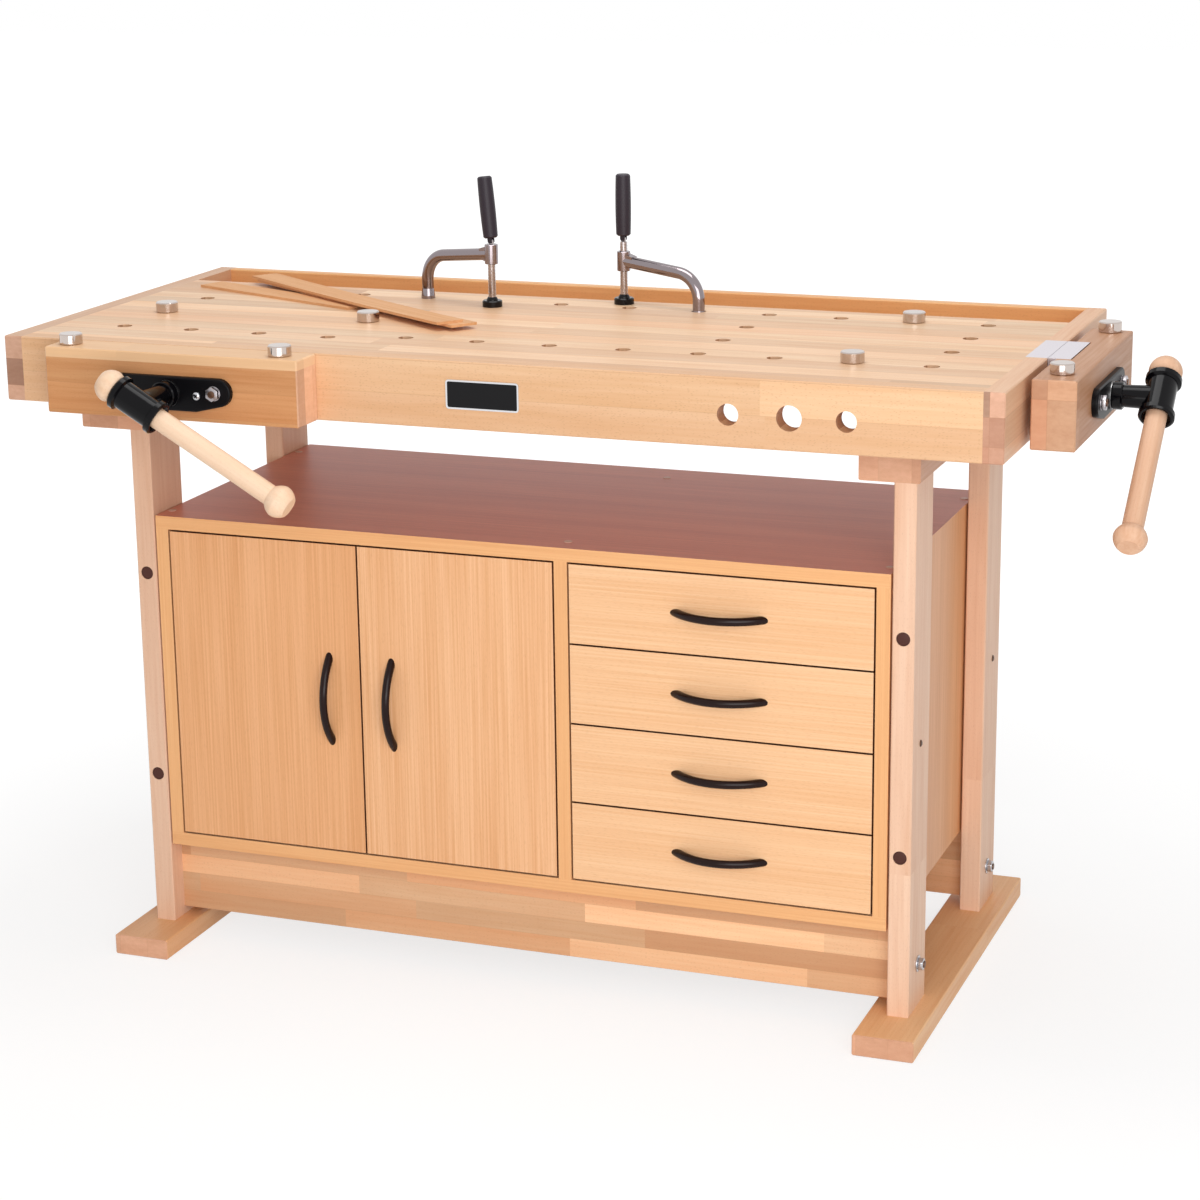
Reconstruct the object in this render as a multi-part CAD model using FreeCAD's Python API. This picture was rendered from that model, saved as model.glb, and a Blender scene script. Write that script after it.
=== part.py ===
"""Beech woodworking bench with a front vise, an end vise, a tool tray and a cupboard with drawers.

Millimetres. +X runs along the bench to the right, +Y to the back and +Z up. The model is drawn from the
left end of the top, the front face of its apron and the floor, and is then moved so that the origin is on
the floor at the centre of the space that the bench takes up with both vises closed. One STEP file is
written for each sub-part, and alike pieces of one sub-part are separate solids in its file.
"""
import FreeCAD, Part
import math
import os

V = FreeCAD.Vector
ALONG_X, ALONG_Y, UP = V(1, 0, 0), V(0, 1, 0), V(0, 0, 1)

# ---------------------------------------------------------------- driving sizes: the top
TOP_LENGTH = 1340.0
TOP_WIDTH = 612.0
TOP_HEIGHT = 860.0
RIM_HEIGHT = 86.0            # apron, end caps and back rail
APRON_THICK = 26.0
CAP_THICK = 26.0
RAIL_THICK = 18.0
SLAB_THICK = 32.0
TRAY_WIDTH = 104.0
TRAY_FLOOR_THICK = 10.0
TRAY_FLOOR_LAP = 20.0        # how far the tray's floor runs under the slab
EDGE_EASE = 1.5              # chamfer on wooden edges that hands meet

# driving sizes: dog holes, in columns along the top and rows across it
DOG_HOLE_D = 20.0
DOG_COLUMNS = 12
DOG_ROWS = 4
COLUMN_MARGIN_LEFT = 118.0
COLUMN_MARGIN_RIGHT = 122.0
ROW_MARGIN_FRONT = 136.0
ROW_MARGIN_BACK = 54.0       # from the last row to the slab's back edge
VISE_ROW_Y = 111.0           # the short row behind the front vise
VISE_ROW_COLUMNS = 4
LEFT_COLUMN_PITCH = 117.5
APRON_HOLES = ((339.0, 27.0), (262.0, 32.0), (191.0, 26.0))   # distance from the right end, diameter
APRON_HOLE_DROP = 46.0

# driving sizes: bench dogs
DOG_HEAD_D = 30.0
DOG_HEAD_HEIGHT = 14.0
DOG_SHANK_LENGTH = 36.0
DOG_EASE = 1.5
DOG_FIT = 0.3                # radial clearance of dogs and hold-down posts in their holes

# driving sizes: leg frames
LEFT_OVERHANG = 135.5
RIGHT_OVERHANG = 123.5
LEG_THICK = 28.5
LEG_DEPTH = 83.0
LEG_INSET_FRONT = 78.5
LEG_INSET_BACK = 60.0
FOOT_WIDTH = 80.0
FOOT_HEIGHT = 28.0
FOOT_FRONT_INSET = 5.5
FOOT_BACK_REACH = 7.5        # how far a foot runs past the top's back edge
BEARER_HEIGHT = 48.0
RIGHT_BEARER_WIDTH = 78.0
RIGHT_BEARER_LAP = 4.5       # how far the right bearer stands out past its leg
LEFT_BEARER_WIDTH = 100.0
PACKER_WIDTH = 28.0          # blocks between the bearers and the slab
STRETCHER_HEIGHT = 103.0
STRETCHER_THICK = 28.0
STRETCHER_INSET = 29.5
STRETCHER_ABOVE_FLOOR = 39.0
PLUG_D = 18.0                # plugged fixing holes in the fronts of the front legs
PLUG_DEPTH = 3.0
PLUG_BELOW_CABINET_TOP = 81.0
PLUG_ABOVE_CABINET_BOTTOM = 101.0

# driving sizes: cabinet
PANEL = 18.0
CABINET_SIDE_FIT = 2.5
CABINET_FRONT_INSET = 1.0    # behind the leg fronts
SHELF_SPACE = 116.0          # open space between the cabinet and the bearers
DRAWER_BAY_WIDTH = 408.5
DRAWER_COUNT = 4
FRONT_GAP = 2.5              # reveal around doors and drawer fronts
BACK_PANEL = 4.0
BACK_PANEL_INSET = 6.0
HINGE_FROM_END = 70.0
HINGE_CUP_D = 35.0
HINGE_CUP_DEPTH = 12.0
HINGE_CUP_EDGE = 5.0
HINGE_CUP_RIM = 3.0
HINGE_METAL = 1.0
HINGE_ARM = (5.0, 62.0, 16.0)
HINGE_ARM_CLEAR = 4.0        # behind the closed door
RUNNER_SPACE = 13.0
RUNNER_HEIGHT = 35.0
RUNNER_METAL = 1.5
RUNNER_LIP = 8.0
RUNNER_SETBACK = 4.0         # behind the drawer front
RUNNER_PLAY = 0.6
DRAWER_SIDE = 12.0
DRAWER_SIDE_DROP = 12.875    # drawer side below the top edge of its front
DRAWER_SIDE_RISE = 14.0      # drawer side above the bottom edge of its front
DRAWER_BOTTOM = 6.0
DRAWER_BOTTOM_RISE = 8.0
DRAWER_LENGTH = 400.0

# driving sizes: bow handles
HANDLE_LENGTH = 130.0
HANDLE_RISE = 27.0
HANDLE_BAR = 7.5
HANDLE_WIDTH = 11.0
HANDLE_FOOT = 12.0
HANDLE_ROUND = 2.6
DOOR_HANDLE_FROM_EDGE = 44.0

# driving sizes: vises
JAW_THICK = 55.0
JAW_FIT = 0.5
FRONT_JAW_MARGINS = (24.0, 36.0)      # past the first and the fourth dog column
END_JAW_MARGINS = (44.0, 16.0)        # past the first and the last dog row
JAW_DOG_DEPTH = 60.0
JAW_DOG_SETBACK = 28.0
SPINDLE_DROP = 50.0
SPINDLE_D = 24.0
SPINDLE_STUB_D = 16.0
SPINDLE_STUB = 22.0
GUIDE_D = 18.0
GUIDE_SPACING = 66.5                  # from the spindle to each guide
GUIDE_RISE = 3.5                      # of the guides above the spindle
GUIDE_REACH = 205.0                   # of spindle and guides behind the jaw
WOOD_CLEARANCE = 1.5                  # radial, of metal bars through wood
METAL_CLEARANCE = 0.3                 # radial, of bars in the iron guide
END_VISE_GAP = 10.0                   # between the wooden faces when its metal plates meet

FLANGE_THICK = 8.0
FLANGE_TOP = 22.0
FLANGE_BOTTOM = 22.0
FLANGE_FLAT = 40.0                    # half of the straight lower edge
FLANGE_LOBE_R = 18.0
FLANGE_LOBE_X = 71.5
FLANGE_ROUND = 2.5
GUIDE_SEAT = 5.0                      # how deep the guides sit in the flange

THRUST_WASHER = 1.6
THRUST_GAP = 0.3
COLLAR_D = 35.0
COLLAR_LENGTH = 13.0
NECK_D = 30.0
NECK_WAIST_D = 28.0
FRONT_HUB_STANDOFF = 83.0             # jaw face to the middle of the hub
END_HUB_STANDOFF = 68.0
HUB_LENGTH = 66.0
HUB_D = 37.0
HUB_RIM_D = 45.0
HUB_RIM = 10.0
HUB_RIM_ROUND = 2.0
HUB_MOUTH_D = 36.0
HUB_MOUTH_DEPTH = 7.0
HANDLE_ROD_D = 26.5
HANDLE_ROD_FIT = 0.5
HANDLE_SPAN = 237.0                   # between the two knobs
HANDLE_REST_GAP = 0.3
KNOB_D = 42.0
KNOB_LENGTH = 28.0
KNOB_NECK_D = 28.0
KNOB_END_D = 31.0
KNOB_FULLEST = 12.0                   # from its inner face
KNOB_SINK = 3.5                       # how far a knob goes into the hub's mouth
KNOB_CHAMFER = 2.0
FRONT_HANDLE_TURN = -30.0             # degrees from level, seen from outside the vise
END_HANDLE_TURN = 218.5

NUT_PLATE = (176.0, 34.0, 8.0)
NUT_BOSS_D = 36.0
NUT_BOSS_LENGTH = 34.0
GUIDE_TUBE_D = 28.0
GUIDE_TUBE_LENGTH = 60.0

JAW_PLATE_LENGTH = 122.0
JAW_PLATE_OFFSET = 20.0               # towards the back from the end vise's spindle
JAW_PLATE_WIDTH = 28.0
JAW_PLATE_SLOT = 2.0                  # open groove beside the plate in the end jaw
JAW_PLATE_THICK = 8.0
JAW_PLATE_DEEP = 36.0
JAW_PLATE_GAP = 0.5
CAP_CHEEK_THICK = 4.0

# driving sizes: hold-down clamps
CLAMP_REACH = 122.0
CLAMP_HEIGHT = 59.5          # of the boss's middle above the top, with the post pushed home
CLAMP_BAR_D = 16.5
CLAMP_BEND = 36.0
CLAMP_RISE = 6.0             # angle at which the arm climbs from its bend to the boss
CLAMP_SHANK_TOP = -9.0       # where the post starts to taper to the bar, with the post pushed home
CLAMP_TAPER = 10.0
CLAMP_SHANK_LENGTH = 61.0
CLAMP_BOSS_D = 18.5
CLAMP_BOSS_HEIGHT = 27.0
CLAMP_WEB_LENGTH = 8.0
CLAMP_WEB_THICK = 13.0
CLAMP_SCREW_D = 11.0
CLAMP_SCREW_TOP = 86.5
CLAMP_PIN_Z = 90.5           # the grip's pin above the top
CLAMP_KNUCKLE_D = 7.0
CLAMP_TANG = 3.0
CLAMP_PIN_D = 2.5
PAD_D = 27.5
PAD_RIM_HEIGHT = 9.0
PAD_RIM_ROUND = 1.5
PAD_DOME_D = 16.0
PAD_DOME_TOP = 16.0
PAD_SOCKET = 6.0
PAD_LIFT = 0.3
GRIP_D = 21.5
GRIP_END_D = 20.0
GRIP_LENGTH = 84.0
GRIP_FROM_PIN = 4.0
GRIP_CHEEK = 1.6
GRIP_ROUND = 2.0
LEFT_CLAMP_HOLE = (3, 3)     # dog column and row, counted from 0
LEFT_CLAMP_RAISE = 13.0      # how far its post stands out of the hole
LEFT_CLAMP_TURN = -20.0
LEFT_GRIP_LEAN = -6.5
RIGHT_CLAMP_HOLE = (7, 3)
RIGHT_CLAMP_TURN = 166.0

# driving sizes: name plate and the loose strips on the top
PLATE_LENGTH = 98.0
PLATE_HEIGHT = 37.0
PLATE_THICK = 2.0
PLATE_CORNER = 4.0
PLATE_RIM = 2.2
PLATE_SINK = 0.6
PLATE_FROM_LEFT = 632.5
PLATE_DROP = 23.0
STRIP_WIDTH = 40.0
STRIP_THICK = 3.5
FLAT_STRIP_LENGTH = 315.0
FLAT_STRIP_FROM_DOG = (-356.0, 195.0) # its front left corner, from the dog in the middle of the top
FLAT_STRIP_TURN = -22.6
BENT_STRIPS_FROM_DOG = (-88.0, 98.0)  # where the two bent strips rest on the flat one, from that dog
BENT_STRIP_R = 25000.0
UPPER_STRIP_TURN = -34.6
UPPER_STRIP_REACH = (254.0, 254.0)    # to the left and to the right of that place
LOWER_STRIP_TURN = -33.2
LOWER_STRIP_REACH = (240.0, 268.0)
LOWER_STRIP_SETBACK = 7.0
STRIP_GAP = 0.05

# ---------------------------------------------------------------- derived places
SLAB_BACK = TOP_WIDTH - RAIL_THICK - TRAY_WIDTH
SLAB_BOTTOM = TOP_HEIGHT - SLAB_THICK
RIM_BOTTOM = TOP_HEIGHT - RIM_HEIGHT
COLUMN_PITCH = (TOP_LENGTH - COLUMN_MARGIN_LEFT - COLUMN_MARGIN_RIGHT) / (DOG_COLUMNS - 1)
ROW_PITCH = (SLAB_BACK - ROW_MARGIN_FRONT - ROW_MARGIN_BACK) / (DOG_ROWS - 1)
COLUMNS = [COLUMN_MARGIN_LEFT + i * COLUMN_PITCH for i in range(DOG_COLUMNS)]
ROWS = [ROW_MARGIN_FRONT + i * ROW_PITCH for i in range(DOG_ROWS)]

MIDDLE_DOG = (COLUMNS[3], ROWS[1])
FLAT_STRIP_CORNER = [place + shift for place, shift in zip(MIDDLE_DOG, FLAT_STRIP_FROM_DOG)]
BENT_STRIP_REST = [place + shift for place, shift in zip(MIDDLE_DOG, BENT_STRIPS_FROM_DOG)]

BEARER_BOTTOM = RIM_BOTTOM - BEARER_HEIGHT
LEG_BACK = TOP_WIDTH - LEG_INSET_BACK
LEG_XS = (LEFT_OVERHANG, TOP_LENGTH - RIGHT_OVERHANG - LEG_THICK)
LEG_YS = (LEG_INSET_FRONT, LEG_BACK - LEG_DEPTH)
FRAME_INNER = (LEG_XS[0] + LEG_THICK, LEG_XS[1])
RIGHT_BEARER_X = LEG_XS[1] + LEG_THICK + RIGHT_BEARER_LAP - RIGHT_BEARER_WIDTH
LEFT_BEARER_X = LEG_XS[0] + LEG_THICK - LEFT_BEARER_WIDTH

CABINET_LEFT = FRAME_INNER[0] + CABINET_SIDE_FIT
CABINET_RIGHT = FRAME_INNER[1] - CABINET_SIDE_FIT
CABINET_FRONT = LEG_INSET_FRONT + CABINET_FRONT_INSET
CABINET_BACK = LEG_BACK
CABINET_TOP = BEARER_BOTTOM - SHELF_SPACE
CABINET_BOTTOM = STRETCHER_ABOVE_FLOOR + STRETCHER_HEIGHT
BAY_BOTTOM = CABINET_BOTTOM + PANEL
BAY_TOP = CABINET_TOP - PANEL
DRAWER_BAY = (CABINET_RIGHT - PANEL - DRAWER_BAY_WIDTH, CABINET_RIGHT - PANEL)
DOOR_BAY = (CABINET_LEFT + PANEL, DRAWER_BAY[0] - PANEL)
BACK_PANEL_FRONT = CABINET_BACK - BACK_PANEL_INSET - BACK_PANEL
FRONT_BOTTOM = BAY_BOTTOM + FRONT_GAP
FRONT_TOP = BAY_TOP - FRONT_GAP
DOOR_WIDTH = (DOOR_BAY[1] - DOOR_BAY[0] - 3 * FRONT_GAP) / 2
DOOR_LEFTS = (DOOR_BAY[0] + FRONT_GAP, DOOR_BAY[0] + 2 * FRONT_GAP + DOOR_WIDTH)
DRAWER_FRONT_WIDTH = DRAWER_BAY_WIDTH - 2 * FRONT_GAP
DRAWER_FRONT_HEIGHT = (FRONT_TOP - FRONT_BOTTOM - (DRAWER_COUNT - 1) * FRONT_GAP) / DRAWER_COUNT
DRAWER_SIDE_HEIGHT = DRAWER_FRONT_HEIGHT - DRAWER_SIDE_RISE - DRAWER_SIDE_DROP
DRAWER_BOX_LEFT = DRAWER_BAY[0] + RUNNER_SPACE
DRAWER_BOX_WIDTH = DRAWER_BAY_WIDTH - 2 * RUNNER_SPACE
FRONT_BACK = CABINET_FRONT + PANEL            # back face of doors and drawer fronts
DRAWER_RAIL_RISE = DRAWER_SIDE_RISE + (DRAWER_SIDE_HEIGHT - RUNNER_HEIGHT) / 2

FRONT_JAW_X = (COLUMNS[0] - FRONT_JAW_MARGINS[0], COLUMNS[3] + FRONT_JAW_MARGINS[1])
END_JAW_Y = (ROWS[0] - END_JAW_MARGINS[0], ROWS[-1] + END_JAW_MARGINS[1])
FRONT_SPINDLE_X = sum(FRONT_JAW_X) / 2
END_SPINDLE_Y = sum(END_JAW_Y) / 2
SPINDLE_Z = TOP_HEIGHT - SPINDLE_DROP
FRONT_JAW_FACE = -JAW_FIT - JAW_THICK
END_JAW_INNER = TOP_LENGTH + END_VISE_GAP
END_JAW_FACE = END_JAW_INNER + JAW_THICK
HUB_BASE = FLANGE_THICK + THRUST_GAP + THRUST_WASHER
NUT_PLATE_HEIGHT = min(NUT_PLATE[1], 2 * (SLAB_BOTTOM - SPINDLE_Z) - 1)
BAR_LENGTH = JAW_THICK + GUIDE_REACH

FLOOR_CENTRE = V(
    (END_JAW_FACE + END_HUB_STANDOFF + HUB_RIM_D / 2) / 2,
    (TOP_WIDTH + FOOT_BACK_REACH + FRONT_JAW_FACE - FRONT_HUB_STANDOFF - HUB_RIM_D / 2) / 2,
    0,
)


# ---------------------------------------------------------------- helpers
def box(x, y, z):
    """A box between the two limits given for each axis."""
    return Part.makeBox(x[1] - x[0], y[1] - y[0], z[1] - z[0], V(x[0], y[0], z[0]))


def rod(diameter, start, end):
    """A round bar between two points."""
    return Part.makeCylinder(diameter / 2, (end - start).Length, start, end - start)


def ease(solid, size, wanted):
    """Chamfer the straight edges whose middle passes the test `wanted`."""
    edges = [e for e in solid.Edges if wanted(e.valueAt((e.FirstParameter + e.LastParameter) / 2), e)]
    return solid.makeChamfer(size, edges) if edges else solid


def runs_along(edge, axis):
    """Whether a straight edge is parallel to an axis."""
    return len(edge.Vertexes) == 2 and abs(abs(edge.tangentAt(edge.FirstParameter).dot(axis)) - 1) < 1e-6


def eased_box(x, y, z, axes, size=EDGE_EASE):
    """A box whose edges along the given axes are chamfered."""
    return ease(box(x, y, z), size, lambda middle, edge: any(runs_along(edge, a) for a in axes))


def prism(points, vector):
    """The solid swept by a closed outline of points along a vector."""
    return Part.Face(Part.makePolygon(points + [points[0]])).extrude(vector)


def turned(profile, centre, axis):
    """The solid of revolution of a closed wire."""
    return Part.Face(profile).revolve(centre, axis, 360)


def arc(start, middle, end):
    """A circular edge through three points."""
    return Part.Arc(start, middle, end).toShape()


def line(start, end):
    """A straight edge."""
    return Part.LineSegment(start, end).toShape()


def standing(shape, origin, local_x, local_z):
    """Place a shape drawn in a local frame, given where its origin, +X and +Z go."""
    local_y = local_z.cross(local_x)
    rotation = FreeCAD.Rotation(local_x, local_y, local_z, "ZXY")
    placed = shape.copy()
    placed.Placement = FreeCAD.Placement(origin, rotation).multiply(placed.Placement)
    return placed


def spun(shape, degrees, centre=V(), axis=UP):
    """A copy turned about an axis."""
    copy = shape.copy()
    copy.rotate(centre, axis, degrees)
    return copy


def moved(shape, x=0.0, y=0.0, z=0.0):
    """A copy moved by the given distances."""
    copy = shape.copy()
    copy.translate(V(x, y, z))
    return copy


def moved_to(shape, place):
    """A copy moved by a vector."""
    return moved(shape, x=place.x, y=place.y, z=place.z)


def front_vise(shape):
    """Stand a vise piece, drawn with +X along the jaw, +Y up and +Z outwards, at the front vise."""
    return standing(shape, V(FRONT_SPINDLE_X, FRONT_JAW_FACE, SPINDLE_Z), ALONG_X, -ALONG_Y)


def end_vise(shape):
    """Stand the same vise piece at the right end."""
    return standing(shape, V(END_JAW_FACE, END_SPINDLE_Y, SPINDLE_Z), ALONG_Y, ALONG_X)


# ---------------------------------------------------------------- the top
def dog_holes():
    """Centres of the dog holes in the slab: two long rows, three columns and the row behind the vise."""
    back_row = [(x, ROWS[3]) for x in COLUMNS[2:]]
    front_row = [(x, ROWS[0]) for x in COLUMNS[4:]]
    cross_columns = [(COLUMNS[i], ROWS[j]) for i in (8, 11) for j in (1, 2)]
    vise_row = [(x, VISE_ROW_Y) for x in COLUMNS[:VISE_ROW_COLUMNS]]
    left_column = [(COLUMNS[0], VISE_ROW_Y + LEFT_COLUMN_PITCH * i) for i in (1, 2)]
    return back_row + front_row + cross_columns + vise_row + left_column + [MIDDLE_DOG]


def benchtop_slab():
    slab = box((CAP_THICK, TOP_LENGTH - CAP_THICK), (APRON_THICK, SLAB_BACK), (SLAB_BOTTOM, TOP_HEIGHT))
    slab = ease(slab, EDGE_EASE, lambda m, e: runs_along(e, ALONG_X) and m.y > SLAB_BACK - 1)
    drills = [rod(DOG_HOLE_D, V(x, y, SLAB_BOTTOM - 1), V(x, y, TOP_HEIGHT + 1)) for x, y in dog_holes()]
    return slab.cut(Part.makeCompound(drills + [angle_plate(cap_plate_profile())]))


def vise_bores(stand, depth):
    """Clearance holes for one vise's spindle and guides, from just outside the jaw to `depth` behind it."""
    bars = [(0.0, 0.0, SPINDLE_D)] + [(x, GUIDE_RISE, GUIDE_D) for x in guide_xs()]
    return [stand(rod(d + 2 * WOOD_CLEARANCE, V(x, y, 1), V(x, y, -depth))) for x, y, d in bars]


def front_apron():
    apron = box((CAP_THICK, TOP_LENGTH - CAP_THICK), (0, APRON_THICK), (RIM_BOTTOM, TOP_HEIGHT))
    apron = ease(apron, EDGE_EASE, lambda m, e: runs_along(e, ALONG_X) and m.y < 1)
    hole_z = TOP_HEIGHT - APRON_HOLE_DROP
    drills = [
        rod(d, V(TOP_LENGTH - from_right, -1, hole_z), V(TOP_LENGTH - from_right, APRON_THICK + 1, hole_z))
        for from_right, d in APRON_HOLES
    ]
    drills += vise_bores(front_vise, JAW_THICK + JAW_FIT + APRON_THICK + 1)
    return apron.cut(Part.makeCompound(drills))


def end_cap(at_right):
    x = (TOP_LENGTH - CAP_THICK, TOP_LENGTH) if at_right else (0, CAP_THICK)
    cap = box(x, (0, TOP_WIDTH), (RIM_BOTTOM, TOP_HEIGHT))
    outer = x[1] if at_right else x[0]

    def on_outside(middle, edge):
        return abs(middle.x - outer) < 1 or (abs(middle.y) < 1 and runs_along(edge, ALONG_X))

    cap = ease(cap, EDGE_EASE, on_outside)
    if not at_right:
        return cap
    bores = vise_bores(end_vise, JAW_THICK + END_VISE_GAP + CAP_THICK + 1)
    return cap.cut(Part.makeCompound(bores + [angle_plate(cap_plate_profile())]))


def back_rail():
    rail = box((CAP_THICK, TOP_LENGTH - CAP_THICK), (TOP_WIDTH - RAIL_THICK, TOP_WIDTH),
               (RIM_BOTTOM, TOP_HEIGHT))
    return ease(rail, EDGE_EASE, lambda m, e: runs_along(e, ALONG_X) and m.z > TOP_HEIGHT - 1)


def tray_floor():
    return box((CAP_THICK, TOP_LENGTH - CAP_THICK), (SLAB_BACK - TRAY_FLOOR_LAP, TOP_WIDTH - RAIL_THICK),
               (SLAB_BOTTOM - TRAY_FLOOR_THICK, SLAB_BOTTOM))


# ---------------------------------------------------------------- leg frames
def bearers():
    """Top bearers of both leg frames, and the packing blocks between them and the slab."""
    depth = (LEG_INSET_FRONT, LEG_BACK)
    height = (BEARER_BOTTOM, RIM_BOTTOM)
    left = eased_box((LEFT_BEARER_X, LEFT_BEARER_X + LEFT_BEARER_WIDTH), depth, height, [ALONG_Y])
    right = eased_box((RIGHT_BEARER_X, RIGHT_BEARER_X + RIGHT_BEARER_WIDTH), depth, height, [ALONG_Y])
    block_z = (RIM_BOTTOM, SLAB_BOTTOM)
    slab_y = (APRON_THICK, SLAB_BACK - TRAY_FLOOR_LAP)
    left_block = box((LEG_XS[0], LEG_XS[0] + PACKER_WIDTH), slab_y, block_z)
    right_x = (LEG_XS[1] - PACKER_WIDTH / 2, LEG_XS[1] + PACKER_WIDTH / 2)
    vise_half = NUT_PLATE[0] / 2
    right_blocks = [
        box(right_x, (slab_y[0], END_SPINDLE_Y - vise_half), block_z),
        box(right_x, (END_SPINDLE_Y + vise_half, slab_y[1]), block_z),
    ]
    return [left, right, left_block] + right_blocks


def plug_heights():
    return (CABINET_TOP - PLUG_BELOW_CABINET_TOP, CABINET_BOTTOM + PLUG_ABOVE_CABINET_BOTTOM)


def legs():
    made = []
    for x in LEG_XS:
        for y in LEG_YS:
            leg = eased_box((x, x + LEG_THICK), (y, y + LEG_DEPTH), (FOOT_HEIGHT, BEARER_BOTTOM), [UP])
            if y == LEG_YS[0]:
                middle = x + LEG_THICK / 2
                for z in plug_heights():
                    leg = leg.cut(rod(PLUG_D, V(middle, y - 1, z), V(middle, y + PLUG_DEPTH, z)))
            made.append(leg)
    return made


def feet():
    middles = [x + LEG_THICK / 2 for x in LEG_XS]
    depth = (FOOT_FRONT_INSET, TOP_WIDTH + FOOT_BACK_REACH)
    return [
        eased_box((m - FOOT_WIDTH / 2, m + FOOT_WIDTH / 2), depth, (0, FOOT_HEIGHT), [ALONG_X, ALONG_Y, UP])
        for m in middles
    ]


def stretcher(at_back):
    y = LEG_BACK - STRETCHER_INSET - STRETCHER_THICK if at_back else LEG_INSET_FRONT + STRETCHER_INSET
    height = (STRETCHER_ABOVE_FLOOR, CABINET_BOTTOM)
    return eased_box(FRAME_INNER, (y, y + STRETCHER_THICK), height, [ALONG_X], EDGE_EASE / 2)


# ---------------------------------------------------------------- cabinet
def cabinet_panels():
    """Top, bottom, two sides and the upright between the door bay and the drawer bay."""
    width = (CABINET_LEFT, CABINET_RIGHT)
    depth = (CABINET_FRONT, CABINET_BACK)
    inner_depth = (CABINET_FRONT, BACK_PANEL_FRONT)
    bay = (BAY_BOTTOM, BAY_TOP)
    return [
        box(width, depth, (BAY_TOP, CABINET_TOP)),
        box(width, depth, (CABINET_BOTTOM, BAY_BOTTOM)),
        box((CABINET_LEFT, DOOR_BAY[0]), depth, bay),
        box((DRAWER_BAY[1], CABINET_RIGHT), depth, bay),
        box((DOOR_BAY[1], DRAWER_BAY[0]), inner_depth, bay),
    ]


def cabinet_back():
    return box((DOOR_BAY[0], DRAWER_BAY[1]), (BACK_PANEL_FRONT, BACK_PANEL_FRONT + BACK_PANEL),
               (BAY_BOTTOM, BAY_TOP))


def hinge_heights():
    return (FRONT_BOTTOM + HINGE_FROM_END, FRONT_TOP - HINGE_FROM_END)


def door_hinges():
    """The four hinge arms screwed to the cabinet, with a sloping nose towards the door."""
    thick, length, height = HINGE_ARM
    nose, tail = FRONT_BACK + HINGE_ARM_CLEAR, FRONT_BACK + HINGE_ARM_CLEAR + length
    outline = [
        V(0, nose, 0), V(thick / 2, nose, 0), V(thick, nose + height, 0), V(thick, tail, 0), V(0, tail, 0),
    ]
    arm = moved(prism(outline, V(0, 0, height)), z=-height / 2)
    mirrored = arm.mirror(V(), ALONG_X)
    return [moved(a, x=x, z=z) for a, x in ((arm, DOOR_BAY[0]), (mirrored, DOOR_BAY[1]))
            for z in hinge_heights()]


def door(hinged_left):
    """A cupboard door, and the two hinge cups let into its back."""
    left = DOOR_LEFTS[0] if hinged_left else DOOR_LEFTS[1]
    panel = box((left, left + DOOR_WIDTH), (CABINET_FRONT, FRONT_BACK), (FRONT_BOTTOM, FRONT_TOP))
    from_edge = HINGE_CUP_EDGE + HINGE_CUP_D / 2
    x = left + from_edge if hinged_left else left + DOOR_WIDTH - from_edge
    middles = [V(x, FRONT_BACK, z) for z in hinge_heights()]
    deep = V(0, HINGE_CUP_DEPTH, 0)
    cups = [moved_to(hinge_cup(), middle) for middle in middles]
    return [panel.cut(Part.makeCompound([rod(HINGE_CUP_D, m - deep, m + deep) for m in middles]))] + cups


def hinge_cup():
    """A thin steel cup, open towards +Y, with a rim that laps onto the door."""
    inner_r, outer_r, rim_r = HINGE_CUP_D / 2 - HINGE_METAL, HINGE_CUP_D / 2, HINGE_CUP_D / 2 + HINGE_CUP_RIM
    return turned(Part.makePolygon([
        V(0, -HINGE_CUP_DEPTH, 0), V(outer_r, -HINGE_CUP_DEPTH, 0), V(outer_r, 0, 0), V(rim_r, 0, 0),
        V(rim_r, HINGE_METAL, 0), V(inner_r, HINGE_METAL, 0), V(inner_r, HINGE_METAL - HINGE_CUP_DEPTH, 0),
        V(0, HINGE_METAL - HINGE_CUP_DEPTH, 0), V(0, -HINGE_CUP_DEPTH, 0),
    ]), V(), ALONG_Y)


def bow_handle():
    """A bow handle along +X, its feet on the plane Z = 0 and its bow towards +Z."""
    half, inner_half = HANDLE_LENGTH / 2, HANDLE_LENGTH / 2 - HANDLE_FOOT
    outline = Part.Wire([
        arc(V(-half, 0, 0), V(0, 0, HANDLE_RISE), V(half, 0, 0)),
        line(V(half, 0, 0), V(inner_half, 0, 0)),
        arc(V(inner_half, 0, 0), V(0, 0, HANDLE_RISE - HANDLE_BAR), V(-inner_half, 0, 0)),
        line(V(-inner_half, 0, 0), V(-half, 0, 0)),
    ])
    bow = moved(Part.Face(outline).extrude(V(0, HANDLE_WIDTH, 0)), y=-HANDLE_WIDTH / 2)
    long_edges = [e for e in bow.Edges if e.Curve.TypeId == "Part::GeomCircle"]
    return bow.makeFillet(HANDLE_ROUND, long_edges)


def door_handle(hinged_left):
    door_gap_x = DOOR_LEFTS[1] - FRONT_GAP / 2
    from_gap = FRONT_GAP / 2 + DOOR_HANDLE_FROM_EDGE
    x = door_gap_x - from_gap if hinged_left else door_gap_x + from_gap
    middle = V(x, CABINET_FRONT, (FRONT_BOTTOM + FRONT_TOP) / 2)
    return standing(bow_handle(), middle, UP, -ALONG_Y)


def drawer_bottom_edge(number):
    """Height of the lower edge of a drawer's front; drawer 1 is at the top."""
    return FRONT_TOP - number * DRAWER_FRONT_HEIGHT - (number - 1) * FRONT_GAP


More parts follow.
